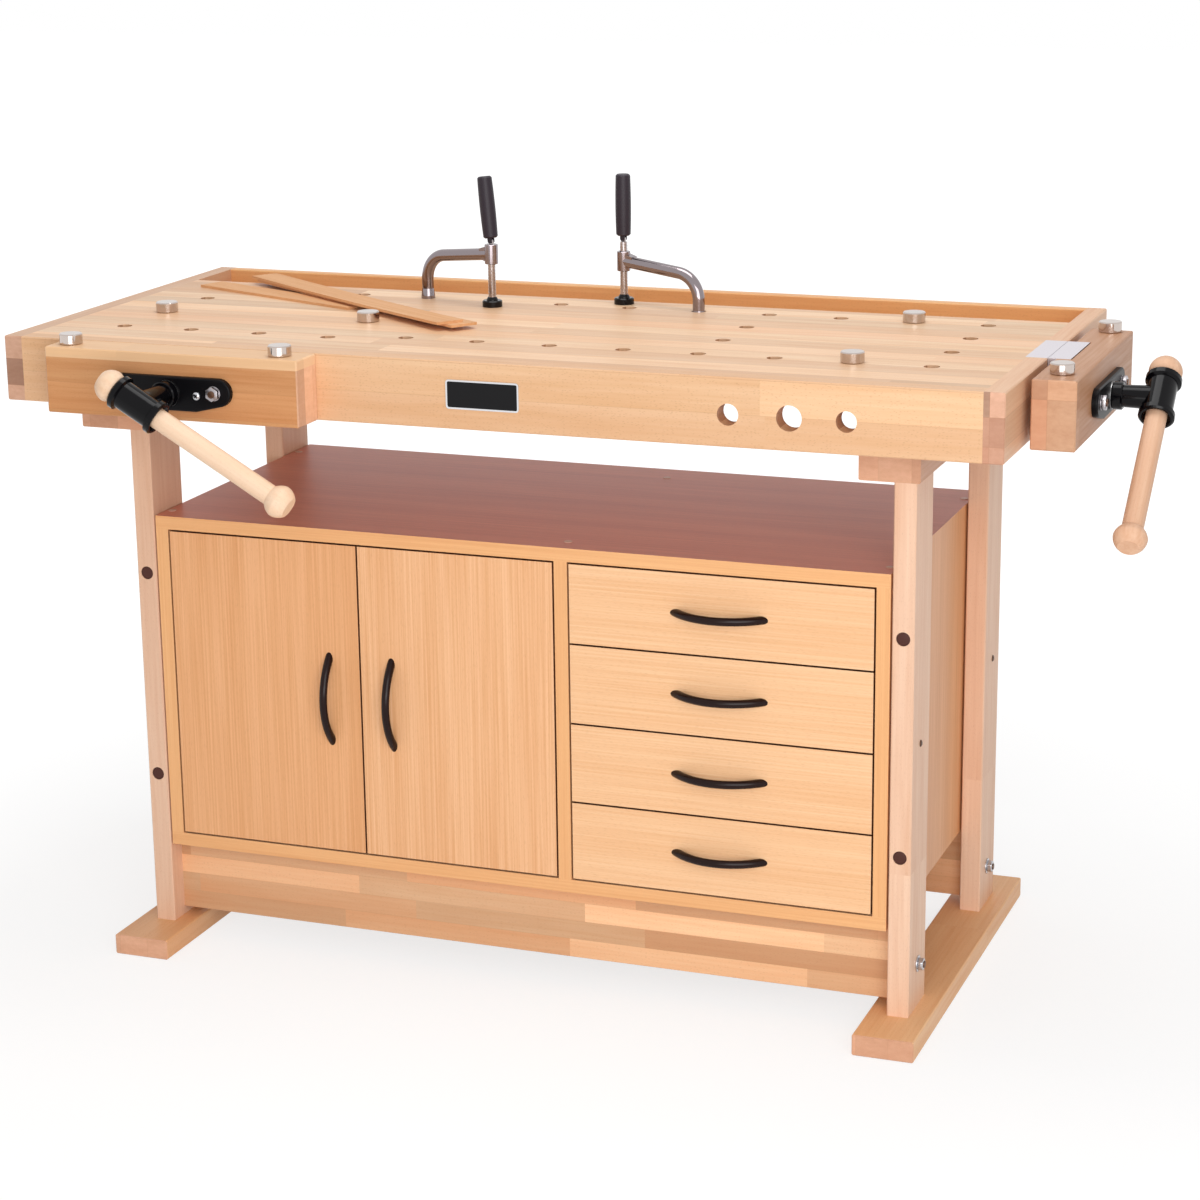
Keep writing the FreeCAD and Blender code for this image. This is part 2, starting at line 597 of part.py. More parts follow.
def drawer(number):
    """Front, two sides, back, bottom and the two rails that run in the cabinet's runners."""
    base = drawer_bottom_edge(number)
    left, right = DRAWER_BOX_LEFT, DRAWER_BOX_LEFT + DRAWER_BOX_WIDTH
    depth = (FRONT_BACK, FRONT_BACK + DRAWER_LENGTH)
    side_z = (base + DRAWER_SIDE_RISE, base + DRAWER_SIDE_RISE + DRAWER_SIDE_HEIGHT)
    floor_z = side_z[0] + DRAWER_BOTTOM_RISE
    inside = (left + DRAWER_SIDE, right - DRAWER_SIDE)
    front_left = DRAWER_BAY[0] + FRONT_GAP
    front = box((front_left, front_left + DRAWER_FRONT_WIDTH), (CABINET_FRONT, FRONT_BACK),
                (base, base + DRAWER_FRONT_HEIGHT))
    sides = [box((left, inside[0]), depth, side_z), box((inside[1], right), depth, side_z)]
    back = box(inside, (depth[1] - DRAWER_SIDE, depth[1]), side_z)
    floor = box(inside, (depth[0], depth[1] - DRAWER_SIDE), (floor_z, floor_z + DRAWER_BOTTOM))
    rail_z = (base + DRAWER_RAIL_RISE + RUNNER_METAL + RUNNER_PLAY,
              base + DRAWER_RAIL_RISE + RUNNER_HEIGHT - RUNNER_METAL - RUNNER_PLAY)
    rail_y = (depth[0] + RUNNER_SETBACK, depth[1])
    rail_reach = RUNNER_SPACE - RUNNER_METAL - RUNNER_PLAY
    rails = [box((left - rail_reach, left), rail_y, rail_z), box((right, right + rail_reach), rail_y, rail_z)]
    return [front, back, floor] + sides + rails


def drawer_handle(number):
    middle = V((DRAWER_BAY[0] + DRAWER_BAY[1]) / 2, CABINET_FRONT,
               drawer_bottom_edge(number) + DRAWER_FRONT_HEIGHT / 2)
    return standing(bow_handle(), middle, ALONG_X, -ALONG_Y)


def drawer_runners():
    """Steel channels on the cabinet, two for each drawer, open towards the drawer."""
    t, lip, height = RUNNER_METAL, RUNNER_LIP, RUNNER_HEIGHT
    section = [V(0, 0, 0), V(lip, 0, 0), V(lip, 0, t), V(t, 0, t), V(t, 0, height - t),
               V(lip, 0, height - t), V(lip, 0, height), V(0, 0, height)]
    channel = prism(section, V(0, DRAWER_LENGTH - RUNNER_SETBACK, 0))
    mirrored = channel.mirror(V(), ALONG_X)
    made = []
    for number in range(1, DRAWER_COUNT + 1):
        z = drawer_bottom_edge(number) + DRAWER_RAIL_RISE
        for piece, x in ((channel, DRAWER_BAY[0]), (mirrored, DRAWER_BAY[1])):
            made.append(moved(piece, x=x, y=FRONT_BACK + RUNNER_SETBACK, z=z))
    return made


# ---------------------------------------------------------------- vises
def jaw_dog_holes(centres):
    return [rod(DOG_HOLE_D, V(x, y, TOP_HEIGHT - JAW_DOG_DEPTH), V(x, y, TOP_HEIGHT + 1)) for x, y in centres]


def front_jaw_dogs():
    return [(COLUMNS[i], -JAW_FIT - JAW_DOG_SETBACK) for i in (0, 3)]


def end_jaw_dogs():
    return [(END_JAW_INNER + JAW_DOG_SETBACK, ROWS[i]) for i in (0, -1)]


def front_jaw():
    jaw = eased_box(FRONT_JAW_X, (FRONT_JAW_FACE, -JAW_FIT), (RIM_BOTTOM, TOP_HEIGHT), [ALONG_X, ALONG_Y, UP])
    return jaw.cut(Part.makeCompound(vise_bores(front_vise, JAW_THICK + 1) + jaw_dog_holes(front_jaw_dogs())))


def end_jaw():
    thickness, height = (END_JAW_INNER, END_JAW_FACE), (RIM_BOTTOM, TOP_HEIGHT)
    jaw = eased_box(thickness, END_JAW_Y, height, [ALONG_X, ALONG_Y, UP])
    plate_edge = TOP_LENGTH + JAW_PLATE_GAP + JAW_PLATE_WIDTH
    slot_z = (TOP_HEIGHT - JAW_PLATE_THICK, TOP_HEIGHT + 1)
    slot = box((plate_edge, plate_edge + JAW_PLATE_SLOT), plate_y(), slot_z)
    cuts = vise_bores(end_vise, JAW_THICK + 1) + jaw_dog_holes(end_jaw_dogs())
    return jaw.cut(Part.makeCompound(cuts + [angle_plate(jaw_plate_profile()), slot]))


def plate_y():
    middle = END_SPINDLE_Y + JAW_PLATE_OFFSET
    return (middle - JAW_PLATE_LENGTH / 2, middle + JAW_PLATE_LENGTH / 2)


def cap_plate_profile():
    """Angle section let into the end cap: a flat leg on top and a cheek on its outer face."""
    left, face = TOP_LENGTH - JAW_PLATE_WIDTH, TOP_LENGTH
    top, under, low = TOP_HEIGHT, TOP_HEIGHT - JAW_PLATE_THICK, TOP_HEIGHT - JAW_PLATE_DEEP
    inner = face - CAP_CHEEK_THICK
    return [V(left, 0, top), V(left, 0, under), V(inner, 0, under), V(inner, 0, low), V(face, 0, low),
            V(face, 0, top)]


def jaw_plate_profile():
    """Angle section on the end jaw, whose cheek fills the gap between the wooden faces."""
    face = TOP_LENGTH + JAW_PLATE_GAP
    right = face + JAW_PLATE_WIDTH
    top, under, low = TOP_HEIGHT, TOP_HEIGHT - JAW_PLATE_THICK, TOP_HEIGHT - JAW_PLATE_DEEP
    return [V(face, 0, top), V(face, 0, low), V(END_JAW_INNER, 0, low), V(END_JAW_INNER, 0, under),
            V(right, 0, under), V(right, 0, top)]


def angle_plate(profile):
    """The plate with the given section, which is also the space it takes out of the wood."""
    y = plate_y()
    return moved(prism(profile, V(0, y[1] - y[0], 0)), y=y[0])


def guide_xs():
    return (-GUIDE_SPACING, GUIDE_SPACING)


def lobe_tangent(side):
    """Where the flange's sloping lower edge leaves the lobe on one side, in the vise frame."""
    centre = V(side * FLANGE_LOBE_X, FLANGE_TOP - FLANGE_LOBE_R, 0)
    corner = V(side * FLANGE_FLAT, -FLANGE_BOTTOM, 0)
    reach = corner - centre
    spread = math.acos(FLANGE_LOBE_R / reach.Length)
    angle = math.atan2(reach.y, reach.x) + side * spread
    return centre, centre + V(math.cos(angle), math.sin(angle), 0) * FLANGE_LOBE_R, corner


def flange():
    """Cast front plate: straight on top, tapered below to a round lobe at each end."""
    right_centre, right_tangent, right_corner = lobe_tangent(1)
    left_centre, left_tangent, left_corner = lobe_tangent(-1)
    up, out = V(0, FLANGE_LOBE_R, 0), V(FLANGE_LOBE_R, 0, 0)
    outline = Part.Wire([
        line(left_centre + up, right_centre + up),
        arc(right_centre + up, right_centre + out, right_tangent),
        line(right_tangent, right_corner),
        line(right_corner, left_corner),
        line(left_corner, left_tangent),
        arc(left_tangent, left_centre - out, left_centre + up),
    ])
    plate = Part.Face(outline).extrude(V(0, 0, FLANGE_THICK))
    front_edges = [e for e in plate.Edges if all(abs(v.Point.z - FLANGE_THICK) < 1e-6 for v in e.Vertexes)]
    plate = plate.makeFillet(FLANGE_ROUND, front_edges)
    cuts = [rod(GUIDE_D, V(x, GUIDE_RISE, -1), V(x, GUIDE_RISE, GUIDE_SEAT)) for x in guide_xs()]
    cuts.append(rod(SPINDLE_D + 2 * METAL_CLEARANCE, V(0, 0, -1), V(0, 0, FLANGE_THICK + 1)))
    return plate.cut(Part.makeCompound(cuts))


def guide_bars():
    """The two bars seated in the back of the flange, with their inner ends chamfered."""
    bars = [rod(GUIDE_D, V(x, GUIDE_RISE, GUIDE_SEAT), V(x, GUIDE_RISE, -BAR_LENGTH)) for x in guide_xs()]
    return [ease(bar, EDGE_EASE, lambda m, e: m.z < -BAR_LENGTH + 1) for bar in bars]


def spindle():
    """The screw's bar, the stub that the hub is pinned on and the thrust washer under the hub."""
    bar = rod(SPINDLE_D, V(0, 0, FLANGE_THICK), V(0, 0, -BAR_LENGTH))
    bar = ease(bar, EDGE_EASE, lambda m, e: m.z < -BAR_LENGTH + 1)
    stub = rod(SPINDLE_STUB_D, V(0, 0, FLANGE_THICK - 1), V(0, 0, HUB_BASE + SPINDLE_STUB))
    washer_base = V(0, 0, FLANGE_THICK + THRUST_GAP)
    washer = rod(COLLAR_D, washer_base, V(0, 0, HUB_BASE))
    washer = washer.cut(rod(SPINDLE_STUB_D, washer_base, V(0, 0, HUB_BASE)))
    return [bar.fuse(stub).removeSplitter(), washer]


def hub(standoff, turn):
    """Cast T: a collar and neck on the spindle, and a rimmed barrel with wide mouths for the handle."""
    base = HUB_BASE
    collar_end = base + COLLAR_LENGTH
    neck = turned(Part.makePolygon([
        V(0, 0, base), V(COLLAR_D / 2 - EDGE_EASE, 0, base), V(COLLAR_D / 2, 0, base + EDGE_EASE),
        V(COLLAR_D / 2, 0, collar_end - EDGE_EASE), V(COLLAR_D / 2 - EDGE_EASE, 0, collar_end),
        V(NECK_WAIST_D / 2, 0, collar_end), V(NECK_D / 2, 0, standoff - HUB_D / 3),
        V(NECK_D / 2, 0, standoff), V(0, 0, standoff), V(0, 0, base),
    ]), V(), UP)
    half = HUB_LENGTH / 2
    rim_start, rim_r, wall_r = half - HUB_RIM, HUB_RIM_D / 2, HUB_D / 2
    barrel = turned(Part.makePolygon([
        V(-half, 0, 0), V(-half, rim_r - HUB_RIM_ROUND, 0), V(-half + HUB_RIM_ROUND, rim_r, 0),
        V(-rim_start - HUB_RIM_ROUND, rim_r, 0), V(-rim_start, wall_r, 0), V(rim_start, wall_r, 0),
        V(rim_start + HUB_RIM_ROUND, rim_r, 0), V(half - HUB_RIM_ROUND, rim_r, 0),
        V(half, rim_r - HUB_RIM_ROUND, 0), V(half, 0, 0), V(-half, 0, 0),
    ]), V(), ALONG_X)
    barrel = spun(moved(barrel, z=standoff), turn)
    direction = V(math.cos(math.radians(turn)), math.sin(math.radians(turn)), 0)
    middle = V(0, 0, standoff)
    reach = direction * HUB_LENGTH
    handle_bore = rod(HANDLE_ROD_D + 2 * HANDLE_ROD_FIT, middle - reach, middle + reach)
    mouth_r, bore_r = HUB_MOUTH_D / 2, HANDLE_ROD_D / 2 + HANDLE_ROD_FIT
    mouths = []
    for side in (-1, 1):
        mouth = middle + direction * half * side
        mouths.append(Part.makeCone(mouth_r, bore_r, HUB_MOUTH_DEPTH, mouth, direction * -side))
    stub_bore = rod(SPINDLE_STUB_D, V(0, 0, base - 1), V(0, 0, base + SPINDLE_STUB))
    cuts = [handle_bore, stub_bore] + mouths
    return neck.fuse(barrel).cut(Part.makeCompound(cuts)).removeSplitter()


def knob():
    """A turned knob along +X from its inner face at X = 0, fullest near the middle."""
    neck_r, end_r, full_r = KNOB_NECK_D / 2, KNOB_END_D / 2, KNOB_D / 2
    shoulder = KNOB_LENGTH - KNOB_CHAMFER
    inner_bulge = V(KNOB_FULLEST / 3, (neck_r + full_r) / 2, 0)
    outer_bulge = V((KNOB_FULLEST + shoulder) / 2 + KNOB_CHAMFER, full_r - KNOB_CHAMFER, 0)
    outline = Part.Wire([
        line(V(0, 0, 0), V(0, neck_r, 0)),
        arc(V(0, neck_r, 0), inner_bulge, V(KNOB_FULLEST, full_r, 0)),
        arc(V(KNOB_FULLEST, full_r, 0), outer_bulge, V(shoulder, end_r, 0)),
        line(V(shoulder, end_r, 0), V(KNOB_LENGTH, end_r - KNOB_CHAMFER, 0)),
        line(V(KNOB_LENGTH, end_r - KNOB_CHAMFER, 0), V(KNOB_LENGTH, 0, 0)),
        line(V(KNOB_LENGTH, 0, 0), V(0, 0, 0)),
    ])
    return turned(outline, V(), ALONG_X)


def vise_handle(standoff, turn):
    """Wooden rod with a knob at each end, slid down until the upper knob meets the hub's mouth."""
    upper = KNOB_SINK - HUB_LENGTH / 2 - HANDLE_REST_GAP
    lower = upper + HANDLE_SPAN
    bar = rod(HANDLE_ROD_D, V(upper, 0, 0), V(lower, 0, 0))
    pieces = [bar, moved(knob(), x=lower), moved(knob().mirror(V(), ALONG_X), x=upper)]
    return [spun(moved(p, z=standoff), turn) for p in pieces]


def nut_body():
    """Iron guide behind the apron or end cap: a plate, the screw's nut and two guide tubes, inner side -Z."""
    width, _, thick = NUT_PLATE
    half = NUT_PLATE_HEIGHT / 2
    body = box((-width / 2, width / 2), (-half, half), (-thick, 0))
    body = ease(body, EDGE_EASE, lambda m, e: runs_along(e, UP))
    boss_d = min(NUT_BOSS_D, NUT_PLATE_HEIGHT)
    body = body.fuse(rod(boss_d, V(0, 0, -1), V(0, 0, -NUT_BOSS_LENGTH)))
    bores = [rod(SPINDLE_D + 2 * METAL_CLEARANCE, V(0, 0, 1), V(0, 0, -NUT_BOSS_LENGTH - 1))]
    for x in guide_xs():
        inner_end = V(x, GUIDE_RISE, -GUIDE_TUBE_LENGTH)
        body = body.fuse(rod(GUIDE_TUBE_D, V(x, GUIDE_RISE, -1), inner_end))
        bores.append(rod(GUIDE_D + 2 * METAL_CLEARANCE, V(x, GUIDE_RISE, 1), inner_end - UP))
    return body.cut(Part.makeCompound(bores)).removeSplitter()


def vise_nuts():
    front_depth = JAW_THICK + JAW_FIT + APRON_THICK
    end_depth = JAW_THICK + END_VISE_GAP + CAP_THICK
    return [front_vise(moved(nut_body(), z=-front_depth)), end_vise(moved(nut_body(), z=-end_depth))]


# ---------------------------------------------------------------- dogs and hold-down clamps
def dog():
    """A round steel dog with its head on the plane Z = 0 and its shank below."""
    head_r, shank_r = DOG_HEAD_D / 2, DOG_HOLE_D / 2 - DOG_FIT
    return turned(Part.makePolygon([
        V(0, 0, -DOG_SHANK_LENGTH), V(shank_r - 1, 0, -DOG_SHANK_LENGTH), V(shank_r, 0, 1 - DOG_SHANK_LENGTH),
        V(shank_r, 0, 0), V(head_r - 1, 0, 0), V(head_r, 0, 1), V(head_r, 0, DOG_HEAD_HEIGHT - DOG_EASE),
        V(head_r - 1, 0, DOG_HEAD_HEIGHT), V(0, 0, DOG_HEAD_HEIGHT), V(0, 0, -DOG_SHANK_LENGTH),
    ]), V(), UP)


def dog_places():
    """Dogs 1 and 2 in the front jaw, 3 to 6 in the top, 7 and 8 in the end jaw."""
    in_top = [(COLUMNS[0], VISE_ROW_Y + LEFT_COLUMN_PITCH), MIDDLE_DOG,
              (COLUMNS[10], ROWS[0]), (COLUMNS[10], ROWS[3])]
    return front_jaw_dogs() + in_top + end_jaw_dogs()


def clamp_arm():
    """Bent steel bar from its shank in the hole, up and along +X to the boss that holds the screw."""
    shank_r, bar_r = DOG_HOLE_D / 2 - DOG_FIT, CLAMP_BAR_D / 2
    rise = math.radians(CLAMP_RISE)
    bend_end_x = CLAMP_BEND * (1 - math.sin(rise))
    bend_end_z = CLAMP_HEIGHT - (CLAMP_REACH - bend_end_x) * math.tan(rise)
    bottom, bend_base = CLAMP_SHANK_TOP - CLAMP_SHANK_LENGTH, bend_end_z - CLAMP_BEND * math.cos(rise)
    post = turned(Part.makePolygon([
        V(0, 0, bottom), V(shank_r - EDGE_EASE, 0, bottom), V(shank_r, 0, bottom + EDGE_EASE),
        V(shank_r, 0, CLAMP_SHANK_TOP), V(bar_r, 0, CLAMP_SHANK_TOP + CLAMP_TAPER), V(bar_r, 0, bend_base),
        V(0, 0, bend_base), V(0, 0, bottom),
    ]), V(), UP)
    section = Part.Face(Part.Wire(Part.makeCircle(bar_r, V(0, 0, bend_base))))
    bend = section.revolve(V(CLAMP_BEND, 0, bend_base), ALONG_Y, 90 - CLAMP_RISE)
    arm = rod(CLAMP_BAR_D, V(bend_end_x, 0, bend_end_z), V(CLAMP_REACH, 0, CLAMP_HEIGHT))
    half = CLAMP_BOSS_HEIGHT / 2
    boss = rod(CLAMP_BOSS_D, V(CLAMP_REACH, 0, CLAMP_HEIGHT - half), V(CLAMP_REACH, 0, CLAMP_HEIGHT + half))
    boss = ease(boss, EDGE_EASE / 2, lambda m, e: e.Curve.TypeId == "Part::GeomCircle")
    web_x = (CLAMP_REACH - CLAMP_BOSS_D / 2 - CLAMP_WEB_LENGTH, CLAMP_REACH)
    web_half, slope_low, slope_high = CLAMP_WEB_THICK / 2, bar_r - EDGE_EASE, half - EDGE_EASE
    web = prism([
        V(web_x[0], -web_half, CLAMP_HEIGHT - slope_low), V(web_x[1], -web_half, CLAMP_HEIGHT - slope_high),
        V(web_x[1], -web_half, CLAMP_HEIGHT + slope_high), V(web_x[0], -web_half, CLAMP_HEIGHT + slope_low),
    ], V(0, 2 * web_half, 0))
    bore = rod(CLAMP_SCREW_D + 2 * METAL_CLEARANCE, V(CLAMP_REACH, 0, CLAMP_HEIGHT - 2 * half),
               V(CLAMP_REACH, 0, CLAMP_HEIGHT + 2 * half))
    return post.fuse([bend, arm, web, boss]).cut(bore).removeSplitter()


def clamp_pad():
    """Swivel pad under the screw, with a domed socket."""
    rim_r, dome_r, rim_top = PAD_D / 2, PAD_DOME_D / 2, PAD_RIM_HEIGHT
    shoulder = V(rim_r - PAD_RIM_ROUND, 0, rim_top)
    bulge = V(dome_r * math.sqrt(0.5), 0, (rim_top + PAD_DOME_TOP) / 2 + 1)
    outline = Part.Wire([
        line(V(0, 0, PAD_LIFT), V(rim_r, 0, PAD_LIFT)),
        line(V(rim_r, 0, PAD_LIFT), V(rim_r, 0, rim_top - PAD_RIM_ROUND)),
        line(V(rim_r, 0, rim_top - PAD_RIM_ROUND), shoulder),
        line(shoulder, V(dome_r, 0, rim_top)),
        arc(V(dome_r, 0, rim_top), bulge, V(0, 0, PAD_DOME_TOP)),
        line(V(0, 0, PAD_DOME_TOP), V(0, 0, PAD_LIFT)),
    ])
    socket_base = V(0, 0, PAD_DOME_TOP - PAD_SOCKET)
    socket = rod(CLAMP_SCREW_D + 2 * METAL_CLEARANCE, socket_base, V(0, 0, PAD_DOME_TOP + 1))
    return moved(turned(outline, V(), UP).cut(socket), x=CLAMP_REACH)


def clamp_screw():
    """Screw bar from the pad's socket to a small flat eye that carries the grip's pin."""
    bottom = PAD_DOME_TOP - PAD_SOCKET + METAL_CLEARANCE
    bar = rod(CLAMP_SCREW_D, V(CLAMP_REACH, 0, bottom), V(CLAMP_REACH, 0, CLAMP_SCREW_TOP))
    bar = ease(bar, EDGE_EASE / 2, lambda m, e: m.z > CLAMP_SCREW_TOP - 1)
    eye_y = (-CLAMP_TANG / 2, CLAMP_TANG / 2)
    half = CLAMP_KNUCKLE_D / 2 - METAL_CLEARANCE
    pin_place, across = V(CLAMP_REACH, 0, CLAMP_PIN_Z), V(0, CLAMP_TANG / 2, 0)
    eye = rod(2 * half, pin_place - across, pin_place + across)
    stem = box((CLAMP_REACH - half, CLAMP_REACH + half), eye_y, (CLAMP_SCREW_TOP - 1, CLAMP_PIN_Z))
    hole = rod(CLAMP_PIN_D + METAL_CLEARANCE / 2, pin_place - 2 * across, pin_place + 2 * across)
    return bar.fuse([eye, stem]).cut(hole).removeSplitter()


def clamp_grip(lean):
    """Plastic grip on two small cheeks and a pin, leaning about the pin by `lean` degrees."""
    start = GRIP_FROM_PIN
    end = start + GRIP_LENGTH
    small, large, cheek_r = GRIP_END_D / 2, GRIP_D / 2, CLAMP_KNUCKLE_D / 2
    outline = Part.Wire([
        line(V(0, 0, start), V(small - GRIP_ROUND, 0, start)),
        line(V(small - GRIP_ROUND, 0, start), V(small, 0, start + GRIP_ROUND)),
        arc(V(small, 0, start + GRIP_ROUND), V(large, 0, (start + end) / 2), V(small, 0, end - GRIP_ROUND)),
        line(V(small, 0, end - GRIP_ROUND), V(small - GRIP_ROUND, 0, end)),
        line(V(small - GRIP_ROUND, 0, end), V(0, 0, end)),
        line(V(0, 0, end), V(0, 0, start)),
    ])
    grip = turned(outline, V(), UP)
    inner = CLAMP_TANG / 2 + METAL_CLEARANCE
    outer = inner + GRIP_CHEEK
    cheeks = []
    for side in (-1, 1):
        y = sorted((side * inner, side * outer))
        cheeks.append(rod(2 * cheek_r, V(0, y[0], 0), V(0, y[1], 0)))
        cheeks.append(box((-cheek_r, cheek_r), y, (0, start + 1)))
    pin = rod(CLAMP_PIN_D, V(0, -outer, 0), V(0, outer, 0))
    grip = grip.fuse(cheeks + [pin]).removeSplitter()
    return moved(spun(grip, lean, V(), ALONG_Y), x=CLAMP_REACH, z=CLAMP_PIN_Z)


def clamp_places():
    """For each clamp: its dog hole, how far its post is raised, its turn and the lean of its grip."""
    return {
        "left": (LEFT_CLAMP_HOLE, LEFT_CLAMP_RAISE, LEFT_CLAMP_TURN, LEFT_GRIP_LEAN),
        "right": (RIGHT_CLAMP_HOLE, 0.0, RIGHT_CLAMP_TURN, 0.0),
    }


# ---------------------------------------------------------------- plate and loose strips
def name_plate():
    """A bare plate with a raised rim on the apron."""
    def rounded(inset, y, depth):
        r = PLATE_CORNER - min(inset, PLATE_CORNER / 2)
        slab = box((PLATE_FROM_LEFT + inset, PLATE_FROM_LEFT + PLATE_LENGTH - inset), (y, y + depth),
                   (TOP_HEIGHT - PLATE_DROP - PLATE_HEIGHT + inset, TOP_HEIGHT - PLATE_DROP - inset))
        corners = [e for e in slab.Edges if runs_along(e, ALONG_Y)]
        return slab.makeFillet(r, corners)

    return rounded(0.0, -PLATE_THICK, PLATE_THICK).cut(rounded(PLATE_RIM, -PLATE_THICK - 1, 1 + PLATE_SINK))


def flat_strip():
    strip = box((0, FLAT_STRIP_LENGTH), (0, STRIP_WIDTH), (0, STRIP_THICK))
    return moved(spun(strip, FLAT_STRIP_TURN), x=FLAT_STRIP_CORNER[0], y=FLAT_STRIP_CORNER[1], z=TOP_HEIGHT)


def bent_strip(reach, turn, setback, layer):
    """A strip whose ends curl up a little, resting at one place on the `layer` strips below it."""
    outer = BENT_STRIP_R - layer * (STRIP_THICK + STRIP_GAP)
    inner = outer - STRIP_THICK

    def on_arc(radius, along):
        angle = along / BENT_STRIP_R
        return V(radius * math.sin(angle), setback, BENT_STRIP_R - radius * math.cos(angle))

    left, right = -reach[0], reach[1]
    middle = (left + right) / 2
    outline = Part.Wire([
        arc(on_arc(outer, left), on_arc(outer, middle), on_arc(outer, right)),
        line(on_arc(outer, right), on_arc(inner, right)),
        arc(on_arc(inner, right), on_arc(inner, middle), on_arc(inner, left)),
        line(on_arc(inner, left), on_arc(outer, left)),
    ])
    bent = Part.Face(outline).extrude(V(0, STRIP_WIDTH, 0))
    return moved(spun(bent, turn), x=BENT_STRIP_REST[0], y=BENT_STRIP_REST[1], z=TOP_HEIGHT)


def loose_strips():
    """Three thin wooden strips left on the top, two of them stacked across the end of the first."""
    return [
        flat_strip(),
        bent_strip(LOWER_STRIP_REACH, LOWER_STRIP_TURN, LOWER_STRIP_SETBACK, 1),
        bent_strip(UPPER_STRIP_REACH, UPPER_STRIP_TURN, 0.0, 2),
    ]


# ---------------------------------------------------------------- all sub-parts
def sub_parts():
    """Every sub-part's name with the function that makes its solid or list of solids."""
    parts = {
        "benchtop_slab": benchtop_slab,
        "front_apron": front_apron,
        "end_cap_left": lambda: end_cap(at_right=False),
        "end_cap_right": lambda: end_cap(at_right=True),
        "back_rail": back_rail,
        "tray_floor": tray_floor,
        "bearers": bearers,
        "legs": legs,
        "feet": feet,
        "front_stretcher": lambda: stretcher(at_back=False),
        "back_stretcher": lambda: stretcher(at_back=True),
        "cabinet_panels": cabinet_panels,
        "cabinet_back": cabinet_back,
        "door_hinges": door_hinges,
        "drawer_runners": drawer_runners,
        "vise_nuts": vise_nuts,
        "name_plate": name_plate,
        "end_cap_plate": lambda: angle_plate(cap_plate_profile()),
        "loose_strips": loose_strips,
        "left_door": lambda: door(hinged_left=True),
        "left_door_handle": lambda: door_handle(hinged_left=True),
        "right_door": lambda: door(hinged_left=False),
        "right_door_handle": lambda: door_handle(hinged_left=False),
        "front_jaw": front_jaw,
        "end_jaw": end_jaw,
        "end_jaw_plate": lambda: angle_plate(jaw_plate_profile()),
    }
    vises = {
        "front": (front_vise, FRONT_HUB_STANDOFF, FRONT_HANDLE_TURN),
        "end": (end_vise, END_HUB_STANDOFF, END_HANDLE_TURN),
    }
    for name, (stand, standoff, turn) in vises.items():
        parts[f"{name}_flange"] = lambda s=stand: s(flange())
        parts[f"{name}_guide_bars"] = lambda s=stand: [s(bar) for bar in guide_bars()]
        parts[f"{name}_spindle"] = lambda s=stand: [s(piece) for piece in spindle()]
        parts[f"{name}_hub"] = lambda s=stand, d=standoff, t=turn: s(hub(d, t))
        parts[f"{name}_handle"] = lambda s=stand, d=standoff, t=turn: [s(p) for p in vise_handle(d, t)]
    for number in range(1, DRAWER_COUNT + 1):
        parts[f"drawer_{number}"] = lambda n=number: drawer(n)
        parts[f"drawer_{number}_handle"] = lambda n=number: drawer_handle(n)
    for number, (x, y) in enumerate(dog_places(), start=1):
        parts[f"dog_{number}"] = lambda x=x, y=y: moved(dog(), x=x, y=y, z=TOP_HEIGHT)
    for name, ((column, row), lift, turn, lean) in clamp_places().items():
        def on_bench(shape, c=column, r=row, t=turn):
            return moved(spun(shape, t), x=COLUMNS[c], y=ROWS[r], z=TOP_HEIGHT)

        parts[f"{name}_clamp_arm"] = lambda place=on_bench, up=lift: moved(place(clamp_arm()), z=up)
        parts[f"{name}_clamp_pad"] = lambda place=on_bench: place(clamp_pad())
        parts[f"{name}_clamp_screw"] = lambda place=on_bench: place(clamp_screw())
        parts[f"{name}_clamp_grip"] = lambda place=on_bench, a=lean: place(clamp_grip(a))
    return parts


os.makedirs("parts", exist_ok=True)
for node, make in sub_parts().items():
    made = make()
    shape = Part.makeCompound(made) if isinstance(made, list) else made
    moved(shape, x=-FLOOR_CENTRE.x, y=-FLOOR_CENTRE.y).exportStep(f"parts/{node}.step")
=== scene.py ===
"""Looks of a beech woodworking bench with two vises, a cabinet and hold-down clamps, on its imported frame.

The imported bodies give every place. This script dresses them in their woods, metals and plastics, adds the
small fasteners, the bow handles, the screw threads and the cover caps, and sets up a plain studio. Lengths
are metres, in the frame's own axes: +X along the bench to the end vise, +Y to the back and +Z up.
"""
import logging
import math
from collections.abc import Callable
from dataclasses import dataclass, field, replace
from enum import Enum

import bmesh
import bpy
from mathutils import Matrix, Vector

